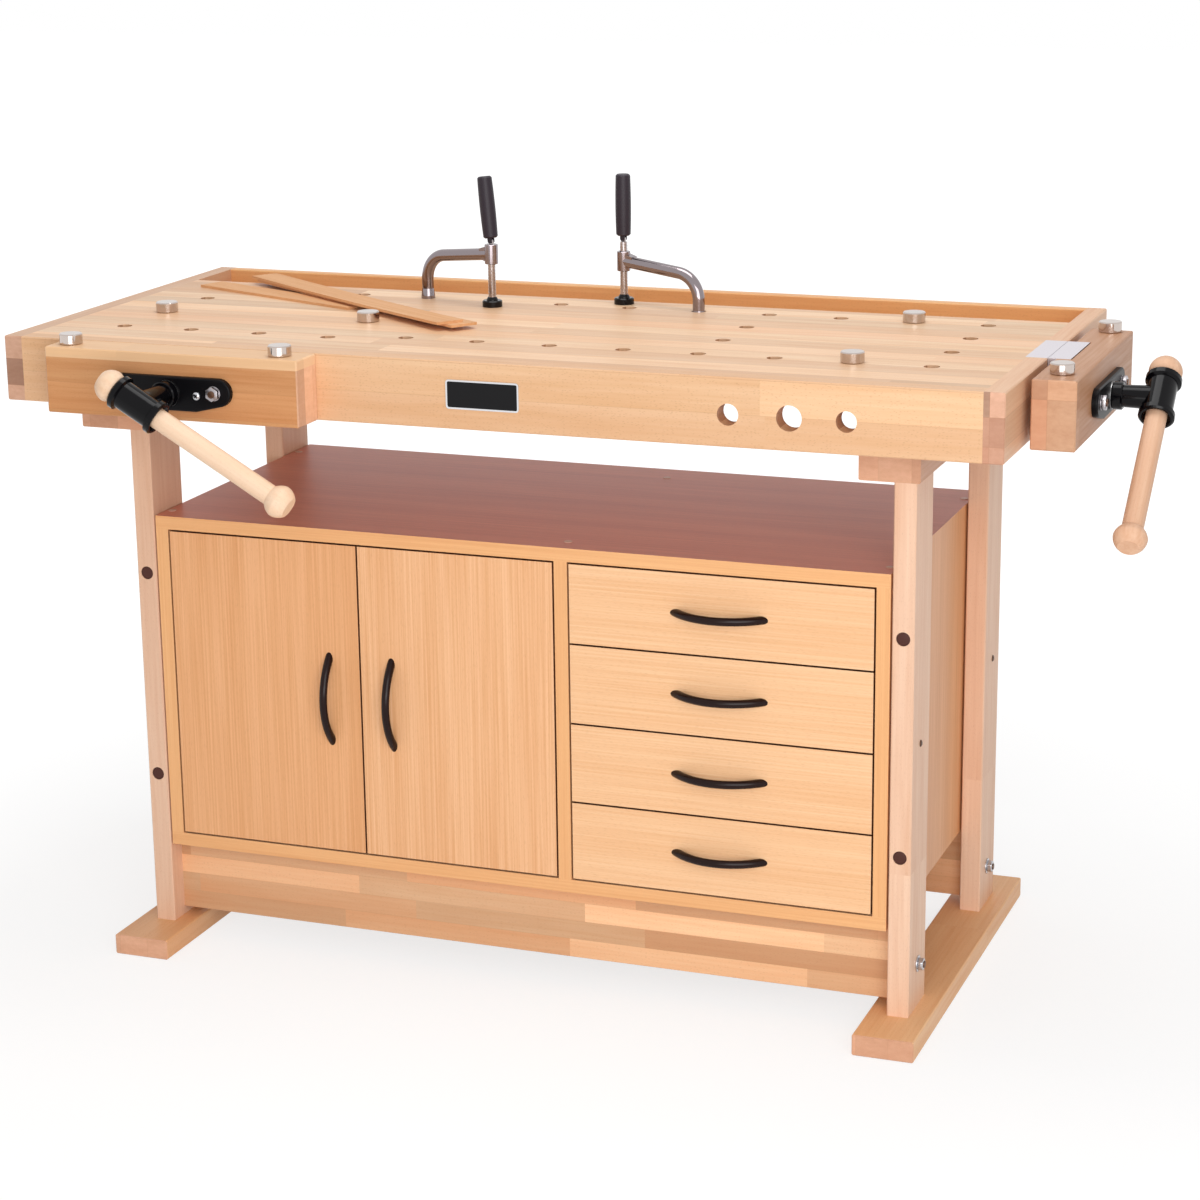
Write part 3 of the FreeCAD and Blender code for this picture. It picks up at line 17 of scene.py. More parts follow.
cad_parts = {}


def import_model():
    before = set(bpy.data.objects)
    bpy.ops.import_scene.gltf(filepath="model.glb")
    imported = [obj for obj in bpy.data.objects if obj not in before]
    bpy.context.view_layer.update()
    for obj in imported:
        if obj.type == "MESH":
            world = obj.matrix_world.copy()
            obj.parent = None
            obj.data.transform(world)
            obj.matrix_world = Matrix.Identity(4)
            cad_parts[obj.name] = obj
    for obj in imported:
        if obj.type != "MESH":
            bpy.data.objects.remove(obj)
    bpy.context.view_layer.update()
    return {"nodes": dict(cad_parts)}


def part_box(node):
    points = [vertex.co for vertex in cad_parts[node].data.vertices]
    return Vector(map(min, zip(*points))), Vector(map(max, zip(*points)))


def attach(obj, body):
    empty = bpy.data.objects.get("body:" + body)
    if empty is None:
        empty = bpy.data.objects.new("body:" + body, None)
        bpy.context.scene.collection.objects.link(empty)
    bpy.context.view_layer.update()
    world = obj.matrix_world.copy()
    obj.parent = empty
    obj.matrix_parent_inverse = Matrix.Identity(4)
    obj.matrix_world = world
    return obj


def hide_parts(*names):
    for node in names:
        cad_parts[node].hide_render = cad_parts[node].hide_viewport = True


MM = 0.001
log = logging.getLogger("bench")

Pair = tuple[float, float]
Triple = tuple[float, float, float]
Mesh = bmesh.types.BMesh
Socket = bpy.types.NodeSocket
Rule = Callable[[Vector, Vector], int]

RIGHT = Vector((1, 0, 0))
BACK = Vector((0, 1, 0))
UP = Vector((0, 0, 1))
SQUARE = 0.7                # part of a normal along an axis from which a face counts as square to it
WHOLE = 1.0                 # width from which a board counts as one stave, without joints
CABINET_BOARD = 18 * MM


# ---------------------------------------------------------------- choices
class Grain(Enum):
    """Which object axis runs along the grain, across the stave and through the board."""

    ALONG_X = (0, 1, 2)
    ALONG_Y = (1, 0, 2)
    ALONG_Z = (2, 0, 1)


class Figure(Enum):
    """Cells per metre along, across and through a board, of its fine streaks and of its broad ones."""

    STREAKS = ((8.0, 230.0, 230.0), (2.0, 34.0, 34.0))
    END_GRAIN = ((230.0, 120.0, 240.0), (60.0, 18.0, 70.0))


class Side(Enum):
    """A side of the bench, with the sign of X on it."""

    LEFT = -1
    RIGHT = 1

    def __str__(self) -> str:
        """The side's word in the names of nodes."""
        return self.name.lower()


class Place(Enum):
    """Where a vise is fitted, with its word in the names of nodes."""

    FRONT = "front"
    END = "end"


class Lie(Enum):
    """How a bow handle lies, with the axis that it runs along."""

    LEVEL = 0
    UPRIGHT = 2

    def along(self) -> Vector:
        """Direction of the handle."""
        return RIGHT if self is Lie.LEVEL else UP


# ---------------------------------------------------------------- colour and nodes
def linear(srgb: str) -> tuple[float, float, float, float]:
    """Turn an sRGB hex colour into linear values.

    Args:
        srgb: colour as "#RRGGBB".

    Returns:
        Linear red, green, blue and an alpha of 1.
    """
    channels = [int(srgb[i:i + 2], 16) / 255 for i in (1, 3, 5)]
    red, green, blue = (c / 12.92 if c <= 0.04045 else ((c + 0.055) / 1.055) ** 2.4 for c in channels)
    return red, green, blue, 1.0


@dataclass(frozen=True)
class Nodes:
    """A node tree, with a short method for each kind of node that the looks use.

    Each of these methods adds its nodes and returns the socket of their answer.
    """

    tree: bpy.types.NodeTree

    def add(self, kind: str, links: dict | None = None, **settings: str) -> bpy.types.Node:
        """Add a node with its settings and links.

        Args:
            kind: Blender's type name of the node, after "ShaderNode".
            links: for an input's name or index, a value, a colour as "#RRGGBB" or the socket that feeds it.
            settings: properties to set on the node.

        Returns:
            The new node.
        """
        node = self.tree.nodes.new(f"ShaderNode{kind}")
        for name, value in settings.items():
            setattr(node, name, value)
        for name, value in (links or {}).items():
            if isinstance(value, Socket):
                self.tree.links.new(value, node.inputs[name])
            else:
                node.inputs[name].default_value = linear(value) if isinstance(value, str) else value
        return node

    def place(self) -> Socket:
        """A point's place in the object's own coordinates."""
        return self.add("TexCoord").outputs["Object"]

    def split(self, vector: Socket) -> list[Socket]:
        """The three parts of a vector."""
        return list(self.add("SeparateXYZ", {0: vector}).outputs)

    def join(self, *parts: Socket | float) -> Socket:
        """The vector of three parts."""
        return self.add("CombineXYZ", dict(enumerate(parts))).outputs[0]

    def math(self, operation: str, *values: Socket | float) -> Socket:
        """The answer of an operation on numbers."""
        return self.add("Math", dict(enumerate(values)), operation=operation).outputs[0]

    def vector(self, operation: str, *values: Socket | Triple) -> Socket:
        """The answer of an operation on vectors."""
        return self.add("VectorMath", dict(enumerate(values)), operation=operation).outputs[0]

    def spread(self, value: Socket, source: Pair, target: Pair = (0.0, 1.0)) -> Socket:
        """A number moved from one range to another and kept inside it."""
        ends = {"From Min": source[0], "From Max": source[1], "To Min": target[0], "To Max": target[1]}
        return self.add("MapRange", {"Value": value, **ends}).outputs[0]

    def blend(self, share: float, first: Socket, second: Socket) -> Socket:
        """A number that lies a share of the way from the first to the second."""
        return self.add("Mix", {0: share, 2: first, 3: second}).outputs[0]

    def mix(self, share: Socket | float, first: Socket | str, second: Socket | str) -> Socket:
        """A colour that lies a share of the way from the first to the second."""
        return self.add("Mix", {0: share, 6: first, 7: second}, data_type="RGBA").outputs[2]

    def random(self, vector: Socket, output: str) -> Socket:
        """A random "Value" or "Color" for each value of a vector."""
        return self.add("TexWhiteNoise", {"Vector": vector}).outputs[output]

    def noise(self, vector: Socket, scale: float, detail: float, rough: float, bent: float = 0.0) -> Socket:
        """A soft noise of some octaves."""
        links = {"Vector": vector, "Scale": scale, "Detail": detail, "Roughness": rough, "Distortion": bent}
        return self.add("TexNoise", links).outputs["Fac"]

    def cells(self, vector: Socket) -> bpy.types.NodeOutputs:
        """The "Distance" to the middle of the nearest of scattered cells, and its random "Color"."""
        return self.add("TexVoronoi", {"Vector": vector, "Scale": 1.0}).outputs

    def bump(self, height: Socket, strength: float, distance: float) -> Socket:
        """A normal that follows a height."""
        return self.add("Bump", {"Strength": strength, "Distance": distance, "Height": height}).outputs[0]

    def lacquer(self, colour: Socket | str, rough: Socket | float, sheen: float, **more: Socket) -> Socket:
        """The shader of a surface that isn't metal."""
        links = {"Base Color": colour, "Roughness": rough, "IOR": 1.5, "Specular IOR Level": sheen}
        return self.add("BsdfPrincipled", links | more).outputs[0]

    def seen(self) -> Socket:
        """Tell the rays that come from the camera, from a gloss or through glass.

        Returns:
            1 for such a ray, else 0.
        """
        path = self.add("LightPath").outputs
        straight = self.math("MAXIMUM", path["Is Camera Ray"], path["Is Transmission Ray"])
        return self.math("MAXIMUM", straight, path["Is Glossy Ray"])


# ---------------------------------------------------------------- finishes
NOISE_RANGE = (0.3, 0.7)        # values of a noise that count as its lowest and its highest
GRIT = 0.6                      # share of each finer octave in the noise of metals and coatings


@dataclass(frozen=True)
class Finish:
    """What a surface is made of, under the name of its material."""

    name: str

    def surface(self, nodes: Nodes) -> Socket:
        """Add the surface's nodes.

        Args:
            nodes: the material's nodes.

        Returns:
            The shader.
        """
        raise NotImplementedError

    def material(self) -> bpy.types.Material:
        """Make the material.

        Returns:
            A material with the finish's name and surface.
        """
        material = bpy.data.materials.new(self.name)
        material.use_nodes = True
        material.node_tree.nodes.clear()
        nodes = Nodes(material.node_tree)
        nodes.add("OutputMaterial", {"Surface": self.surface(nodes)})
        return material


@dataclass(frozen=True)
class SolidBeech(Finish):
    """Steamed beech, glued from staves, planed and lacquered.

    The eye gets pale pinkish boards with soft streaks along the grain, short brown ray flecks, and staves
    that differ a little in tone and meet at thin dark glue lines. Streaks are about 120 mm by 4 mm.
    Above `strip_above`, in the object's own Z, the wood has the lighter colour `strip`.
    """

    grain: Grain
    light: str
    dark: str
    red: str = "#D39A74"
    fleck: str = "#A4683E"
    stave_width: float = WHOLE
    stave_shift: float = 0.0
    layer_height: float = WHOLE
    layer_shift: float = 0.5
    stave_length: float = 0.6
    variety: float = 0.3
    streaks: float = 0.75
    flecks: float = 0.2
    joints: float = 0.35
    roughness: float = 0.42
    sheen: float = 0.3
    figure: Figure = Figure.STREAKS
    turn: Triple = (0.0, 0.0, 0.0)
    strip: str = "#F6CDA0"
    strip_above: float = 9.0
    strip_share: float = 0.7
    broad_share: float = 0.55
    octaves: Pair = (4.0, 2.0)
    wave: Pair = (0.55, 0.25)
    relief: Pair = (0.15, 0.1 * MM)
    lot_shift: Triple = (40.0, 40.0, 40.0)
    line_faint: float = 0.9 * MM
    line_full: float = 0.2 * MM
    fleck_cells: Triple = (190.0, 640.0, 640.0)
    fleck_reach: Pair = (0.34, 0.12)
    bare_cells: float = 0.35
    gloss_range: Pair = (-0.04, 0.08)
    shade_range: Pair = (-0.5, 0.15)

    def staves(self, nodes: Nodes) -> tuple[list[Socket], Socket, Socket]:
        """Add the nodes that number the staves.

        Args:
            nodes: the material's nodes.

        Returns:
            The place along, across and through the board, a random colour for each stave, and the mask of
            the glue lines between staves.
        """
        turned = nodes.add("Mapping", {"Vector": nodes.place(), "Rotation": self.turn}).outputs[0]
        parts = nodes.split(turned)
        along, across, deep = (parts[axis] for axis in self.grain.value)
        row = nodes.math("MULTIPLY_ADD", across, 1 / self.stave_width, self.stave_shift)
        layer = nodes.math("MULTIPLY_ADD", deep, 1 / self.layer_height, self.layer_shift)
        row_index = nodes.math("FLOOR", row)
        layer_index = nodes.math("FLOOR", layer)
        start = nodes.random(nodes.join(row_index, layer_index, 0.5), "Value")
        shifted = nodes.math("MULTIPLY_ADD", along, 1 / self.stave_length, start)
        lot = nodes.random(nodes.join(row_index, layer_index, nodes.math("FLOOR", shifted)), "Color")
        rows = self.glue_line(nodes, row, self.stave_width)
        layers = self.glue_line(nodes, layer, self.layer_height)
        return [along, across, deep], lot, nodes.math("MAXIMUM", rows, layers)

    def glue_line(self, nodes: Nodes, count: Socket, width: float) -> Socket | float:
        """Add thin lines where one stave meets the next.

        Args:
            nodes: the material's nodes.
            count: socket with the number of the stave and how far across it a point lies.
            width: width of a stave.

        Returns:
            A mask that is strongest in the line, or 0 for a whole board.
        """
        if width >= WHOLE:
            return 0.0
        edge = nodes.math("ABSOLUTE", nodes.math("SUBTRACT", nodes.math("FRACT", count), 0.5))
        return nodes.spread(edge, (0.5 - self.line_faint / width, 0.5 - self.line_full / width),
                            (0.0, self.joints))

    def pattern(self, nodes: Nodes, places: list, lot: Socket, cells: Triple, detail: float) -> Socket:
        """Add a noise stretched along the grain, shifted by each stave's own random amount.

        Args:
            nodes: the material's nodes.
            places: the place along, across and through the board.
            lot: the stave's random colour.
            cells: cells per metre along, across and through the board.
            detail: octaves of finer noise.

        Returns:
            The noise, spread to run from 0 to 1.
        """
        stretched = nodes.vector("MULTIPLY", nodes.join(*places), cells)
        moved = nodes.vector("MULTIPLY_ADD", lot, self.lot_shift, stretched)
        return nodes.spread(nodes.noise(moved, 1.0, detail, *self.wave), NOISE_RANGE)

    def ray_flecks(self, nodes: Nodes, places: list[Socket]) -> Socket:
        """Add short dashes, 2 mm long and 0.5 mm wide, on most of their cells.

        Args:
            nodes: the material's nodes.
            places: the place along, across and through the board.

        Returns:
            A mask that is 1 in a fleck.
        """
        cells = nodes.cells(nodes.vector("MULTIPLY", nodes.join(*places), self.fleck_cells))
        far, near = self.fleck_reach
        dash = nodes.spread(cells["Distance"], (near, far), (1.0, 0.0))
        chance = nodes.add("SeparateColor", {0: cells["Color"]}).outputs[0]
        return nodes.math("MULTIPLY", dash, nodes.math("GREATER_THAN", chance, self.bare_cells))

    def surface(self, nodes: Nodes) -> Socket:
        """Add the wood's nodes.

        Args:
            nodes: the material's nodes.

        Returns:
            The shader.
        """
        places, lot, line = self.staves(nodes)
        fine, broad = (self.pattern(nodes, places, lot, cells, detail)
                       for cells, detail in zip(self.figure.value, self.octaves))
        tone = nodes.math("MULTIPLY", nodes.blend(self.broad_share, fine, broad), self.streaks)
        wood = nodes.mix(tone, self.light, self.dark)
        chance = nodes.add("SeparateColor", {0: lot}).outputs
        wood = nodes.mix(nodes.math("MULTIPLY", chance[1], self.variety), wood, self.red)
        dim, bright = (1 + part * self.variety for part in self.shade_range)
        shade = nodes.spread(chance[0], (0.0, 1.0), (dim, bright))
        wood = nodes.add("HueSaturation", {"Value": shade, "Color": wood}).outputs[0]
        flecks = nodes.math("MULTIPLY", self.ray_flecks(nodes, places), self.flecks)
        above = nodes.math("GREATER_THAN", nodes.split(nodes.place())[2], self.strip_above)
        strip = nodes.math("MULTIPLY", above, self.strip_share)
        for share, colour in ((flecks, self.fleck), (line, self.fleck), (strip, self.strip)):
            wood = nodes.mix(share, wood, colour)
        smooth, rough = (self.roughness + part for part in self.gloss_range)
        gloss = nodes.spread(fine, (0.0, 1.0), (smooth, rough))
        return nodes.lacquer(wood, gloss, self.sheen, Normal=nodes.bump(fine, *self.relief))


@dataclass(frozen=True)
class PrintedBoard(Finish):
    """Chipboard faced with a beech print under clear melamine, or its edge band.

    The eye gets an even, slightly orange sheet with close straight lines and short pores, and a soft sheen.
    Lines are about 250 mm long and 2 mm wide.
    """

    grain: Grain
    light: str
    dark: str
    pore: str = "#B87A4B"
    lines: float = 0.8
    pores: float = 0.25
    roughness: float = 0.38
    sheen: float = 0.3
    line_cells: tuple[Triple, Triple] = ((4.0, 420.0, 420.0), (1.2, 26.0, 26.0))
    octaves: Pair = (3.0, 2.0)
    wave: Pair = (0.5, 0.3)
    broad_share: float = 0.35
    line_range: Pair = (0.36, 0.64)
    pore_cells: Triple = (90.0, 900.0, 900.0)
    pore_reach: Pair = (0.1, 0.3)

    def surface(self, nodes: Nodes) -> Socket:
        """Add the sheet's nodes.

        Args:
            nodes: the material's nodes.

        Returns:
            The shader.
        """
        parts = nodes.split(nodes.place())
        ordered = nodes.join(*(parts[axis] for axis in self.grain.value))
        fine, broad = (nodes.noise(nodes.vector("MULTIPLY", ordered, cells), 1.0, detail, *self.wave)
                       for cells, detail in zip(self.line_cells, self.octaves))
        both = nodes.blend(self.broad_share, fine, broad)
        sheet = nodes.mix(nodes.spread(both, self.line_range, (0.0, self.lines)), self.light, self.dark)
        cells = nodes.cells(nodes.vector("MULTIPLY", ordered, self.pore_cells))
        pores = nodes.spread(cells["Distance"], self.pore_reach, (self.pores, 0.0))
        return nodes.lacquer(nodes.mix(pores, sheet, self.pore), self.roughness, self.sheen)


@dataclass(frozen=True)
class Metal(Finish):
    """A bare or plated metal whose fine scratches and polish soften its reflections.

    The eye gets reflections that vary a little over patches as large as `patch`.
    """

    colour: str
    roughness: float
    spread: float = 0.06
    patch: float = 6 * MM
    octaves: float = 4.0

    def surface(self, nodes: Nodes) -> Socket:
        """Add the metal's nodes.

        Args:
            nodes: the material's nodes.

        Returns:
            The shader.
        """
        noise = nodes.noise(nodes.place(), 1 / self.patch, self.octaves, GRIT)
        ends = (self.roughness - self.spread, self.roughness + self.spread)
        gloss = nodes.spread(noise, NOISE_RANGE, ends)
        links = {"Base Color": self.colour, "Metallic": 1.0, "Roughness": gloss}
        return nodes.add("BsdfPrincipled", links).outputs[0]


@dataclass(frozen=True)
class Coating(Finish):
    """Paint, lacquer or moulded plastic over a slightly uneven surface.

    The eye gets one colour with a highlight that breaks up over grains as large as `grain`.
    """

    colour: str
    roughness: float
    grain: float = 2 * MM
    depth: float = 0.05 * MM
    sheen: float = 0.5
    octaves: float = 3.0
    strength: float = 0.5

    def surface(self, nodes: Nodes) -> Socket:
        """Add the coating's nodes.

        Args:
            nodes: the material's nodes.

        Returns:
            The shader.
        """
        noise = nodes.noise(nodes.place(), 1 / self.grain, self.octaves, GRIT)
        bump = nodes.bump(noise, self.strength, self.depth)
        return nodes.lacquer(self.colour, self.roughness, self.sheen, Normal=bump)


@dataclass(frozen=True)
class StudioPaper(Finish):
    """The studio's floor: paper that takes the bench's shadow, and fades into plain white further away.

    The camera and gloss see only some of the paper, from `least` white at `near` to all white at `far`.
    """

    colour: str = "#EDEDED"
    glow: float = 1.15
    near: float = 0.9
    far: float = 2.4
    least: float = 0.66

    def surface(self, nodes: Nodes) -> Socket:
        """Add the floor's nodes.

        Args:
            nodes: the material's nodes.

        Returns:
            The shader.
        """
        paper = nodes.add("BsdfDiffuse", {"Color": self.colour}).outputs[0]
        white = nodes.add("Emission", {"Color": "#FFFFFF", "Strength": self.glow}).outputs[0]
        away = nodes.add("VectorMath", {0: nodes.place()}, operation="LENGTH").outputs["Value"]
        cover = nodes.spread(away, (self.near, self.far), (self.least, 1.0))
        share = nodes.math("MULTIPLY", nodes.seen(), cover)
        return nodes.add("MixShader", {0: share, 1: paper, 2: white}).outputs[0]


# lacquered beech of the top
SLAB = SolidBeech(
    "beech_slab_lacquered", Grain.ALONG_X, "#FFDDB9", "#E6B07D", red="#DFA377", stave_width=43 * MM,
    stave_shift=0.37, stave_length=0.9, variety=0.42, streaks=0.85, sheen=0.45,
)
APRON = SolidBeech(
    "beech_apron_lacquered", Grain.ALONG_X, "#F8CDA3", "#E6AE7C", layer_height=43 * MM, layer_shift=0.05,
    stave_length=1.9, variety=0.2, flecks=0.3, joints=0.15,
)
RAIL = SolidBeech("beech_rail_lacquered", Grain.ALONG_X, "#FFC98A", "#E8A062", stave_length=0.8)
TRAY = SolidBeech("beech_tray_floor", Grain.ALONG_X, "#EDBD8F", "#D79E6D", stave_width=52 * MM)
END_CAP = SolidBeech(
    "beech_end_cap_lacquered", Grain.ALONG_Y, "#F3CBA8", "#DCA67F", layer_height=35.5 * MM,
    layer_shift=0.62, stave_length=0.8, variety=0.35, joints=0.25,
)
CAP_ENDS = SolidBeech(
    "beech_end_cap_end_grain", Grain.ALONG_Y, "#EBBCA0", "#C99679", red="#AE7257", stave_width=34 * MM,
    stave_shift=0.12, layer_height=35.5 * MM, layer_shift=0.62, variety=0.75, flecks=0.1, joints=0.2,
    roughness=0.5, figure=Figure.END_GRAIN,
)
BOARD_ENDS = SolidBeech(
    "beech_end_grain_x", Grain.ALONG_X, "#DDAC88", "#BE8A66", red="#A86C4E", stave_width=44 * MM,
    layer_height=43 * MM, variety=0.4, flecks=0.1, roughness=0.5, figure=Figure.END_GRAIN,
)
# vise jaws: the front one has a lighter strip along its top, the ends of the other show its blocks
JAW_X = SolidBeech(
    "beech_front_jaw_lacquered", Grain.ALONG_X, "#E8AF7B", "#CD8952", red="#BF784B", layer_height=36 * MM,
    layer_shift=0.36, stave_length=1.4, variety=0.22, streaks=0.95, joints=0.15,
)
JAW_ENDS = SolidBeech(
    "beech_front_jaw_end_grain", Grain.ALONG_X, "#FFCEAA", "#E7AF87", red="#D69D7C", stave_width=24 * MM,
    variety=0.45, flecks=0.1, roughness=0.5, joints=0.15, figure=Figure.END_GRAIN,
)
# the end jaw's beech along its grain is darker: painted shade on its outer side
JAW_Y = SolidBeech(
    "beech_end_jaw_lacquered", Grain.ALONG_Y, "#D3A27D", "#B37A55", red="#A4684A", stave_length=1.2,
    variety=0.2, joints=0.0,
)
JAW_Y_ENDS = SolidBeech(
    "beech_end_jaw_end_grain", Grain.ALONG_Y, "#E9B893", "#CD9570", red="#C08060", stave_width=60 * MM,
    layer_height=74 * MM, variety=0.6, flecks=0.1, joints=0.2, figure=Figure.END_GRAIN,
)
# leg frames
LEG = SolidBeech(
    "beech_leg_lacquered", Grain.ALONG_Z, "#FAD5B9", "#E2AE8B", red="#D39A78", stave_length=1.5,
    variety=0.2, flecks=0.15, joints=0.0,
)
BEARER = SolidBeech(
    "beech_bearer_lacquered", Grain.ALONG_Y, "#E9BA98", "#D29B77", stave_width=50 * MM, stave_length=1.2,
)
# the feet's beech is brightened: its own pale tone plus painted light on their tops, which the bench shades
FOOT = SolidBeech(
    "beech_foot_lacquered", Grain.ALONG_Y, "#FFCF9C", "#EDAE78", red="#D89260", stave_length=1.2,
    variety=0.25,
)
END_Y = SolidBeech(
    "beech_foot_end_grain", Grain.ALONG_Y, "#F2BE9C", "#D89F7C", red="#C98A6A", stave_width=42 * MM,
    flecks=0.15, joints=0.1, figure=Figure.END_GRAIN,
)
END_Z = SolidBeech(
    "beech_leg_end_grain", Grain.ALONG_Z, "#D9A883", "#B98261", variety=0.2, figure=Figure.END_GRAIN,
)
# the stretchers' beech is brightened: its own pale staves plus painted light for the shade under the
# cabinet
STRETCHER = SolidBeech(
    "beech_stretcher_of_staves", Grain.ALONG_X, "#FFD4A8", "#F0B586", red="#D38855", layer_height=26 * MM,
    stave_length=0.33, variety=0.6, streaks=0.9, joints=0.12,
)
# raw planed strips left on the top, turned as they lie
STRIP = SolidBeech(
    "beech_strip_planed", Grain.ALONG_X, "#EFBB8A", "#D39763", red="#BE7C4B", stave_length=2.0,
    variety=0.2, streaks=0.9, joints=0.0, roughness=0.6, turn=(0.0, 0.0, math.radians(34.0)),
)
# turned handles of the vises, with the grain along the rod
FRONT_HANDLE = SolidBeech(
    "beech_turned_front_handle", Grain.ALONG_X, "#FFE2C6", "#F2C7A0", red="#E2AC86", fleck="#C28E66",
    stave_length=3.0, variety=0.1, streaks=0.9, joints=0.0, roughness=0.5,
    turn=(0.0, math.radians(-30.0), 0.0),
)
END_HANDLE = replace(
    FRONT_HANDLE, name="beech_turned_end_handle", grain=Grain.ALONG_Y, light="#F1C9AA", dark="#DBA784",
    turn=(-math.radians(218.5), 0.0, 0.0),
)
# cabinet boards
DOOR_BOARD = PrintedBoard("beech_print_melamine_door", Grain.ALONG_Z, "#F8C496", "#E2A26C")
# a darker copy of the door print for the left door: painted shade, for weaker light on the bench's left
SHADED_LEFT_DOOR_BOARD = replace(
    DOOR_BOARD, name="beech_print_melamine_left_door", light="#F2B887", dark="#DC9A62",
)
DRAWER_BOARD = PrintedBoard("beech_print_melamine_drawer", Grain.ALONG_X, "#FACC9F", "#EDB481", lines=0.75)
SIDE_BOARD = PrintedBoard("beech_print_melamine_side", Grain.ALONG_Z, "#EAAE7C", "#D28F59", sheen=0.5)
FLAT_BOARD = PrintedBoard("beech_print_melamine_inside", Grain.ALONG_Y, "#F0BD90", "#E0A471")
TOP_BOARD = PrintedBoard(
    "brown_print_melamine_top", Grain.ALONG_X, "#E69A85", "#CD8271", pore="#9C6052", lines=0.7,
    roughness=0.42, sheen=0.4,
)
BAND_X = PrintedBoard("beech_edge_band_level", Grain.ALONG_X, "#F5BC84", "#E8A870", pores=0.1)
BAND_Z = replace(BAND_X, name="beech_edge_band_upright", grain=Grain.ALONG_Z)
# dark brown on the edges of doors and drawers: painted shade that darkens the gaps between the fronts
GAP_SHADE_BAND = PrintedBoard("brown_edge_band_of_fronts", Grain.ALONG_Z, "#7F4C2E", "#704227", pores=0.1)
HARDBOARD = Coating("hardboard_raw", "#8A6248", 0.75, grain=0.8 * MM)
# metals
NICKEL = Metal("nickel_plated_steel", "#BDB6B6", 0.16, spread=0.03, patch=10 * MM)
ARM_STEEL = Metal("polished_plated_steel_arm", "#93898C", 0.12, spread=0.02, patch=25 * MM)
ZINC = Metal("zinc_plated_steel", "#C4C4C8", 0.28)
NUT_STEEL = Metal("zinc_plated_nut", "#ADA8AB", 0.3)
DOG_STEEL = Metal("turned_steel_dog", "#C6BAB3", 0.13, spread=0.02, patch=20 * MM)
BAR_STEEL = Metal("ground_steel_bar", "#A7A6A6", 0.3)
SHEET_STEEL = Metal("galvanised_sheet_steel", "#D2D4D6", 0.45)
ALUMINIUM = Metal("aluminium_plate_sawn_and_brushed", "#D8D2D8", 0.36, spread=0.1, patch=2 * MM)
BRONZE = Metal("dark_bronzed_screw", "#6B5142", 0.4)
PLATE_RIM = Metal("polished_plate_rim", "#D8D8DA", 0.18)
# paints, lacquers and plastics
ENAMEL = Coating("black_enamel_on_cast_iron", "#060508", 0.14, grain=7 * MM, depth=0.12 * MM, sheen=0.17)
FLANGE_PAINT = Coating(
    "black_paint_on_cast_flange", "#060508", 0.38, grain=5 * MM, depth=0.1 * MM, sheen=0.13,
)
HANDLE_BLACK = Coating(
    "satin_black_lacquer_on_zinc", "#1E0A07", 0.2, grain=6 * MM, depth=0.02 * MM, sheen=0.2,
)
PLATE_FACE = Coating(
    "black_anodised_plate_face", "#0A090C", 0.3, grain=1.2 * MM, depth=0.01 * MM, sheen=0.2,
)
GRIP_PLASTIC = Coating("moulded_grip_plastic", "#261D28", 0.45, grain=0.8 * MM, sheen=0.35)
PAD_PLASTIC = Coating("moulded_pad_plastic", "#080608", 0.2, grain=6 * MM, depth=0.02 * MM, sheen=0.25)
BROWN_CAP = Coating("brown_cover_cap_plastic", "#4A241B", 0.45, grain=3 * MM, sheen=0.3)
TAN_CAP = Coating("tan_cover_cap_plastic", "#D9B6A4", 0.4, grain=3 * MM)


# ---------------------------------------------------------------- frame and meshes
@dataclass(frozen=True)
class Stand:
    """A local frame: where its origin, +X and +Z go."""

    origin: Vector
    along: Vector
    out: Vector

    def matrix(self) -> Matrix:
        """Find how the local frame lies.

        Returns:
            The matrix from the local frame to the shared one.
        """
        up = self.out.cross(self.along)
        turn = Matrix((self.along, up, self.out)).transposed().to_4x4()
        return Matrix.Translation(self.origin) @ turn


def linked(name: str, data: bpy.types.ID) -> bpy.types.Object:
    """Make an object and put it in the scene.

    Args:
        name: the object's name.
        data: its mesh, lamp or camera.

    Returns:
        The object.
    """
    made = bpy.data.objects.new(name, data)
    bpy.context.scene.collection.objects.link(made)
    return made


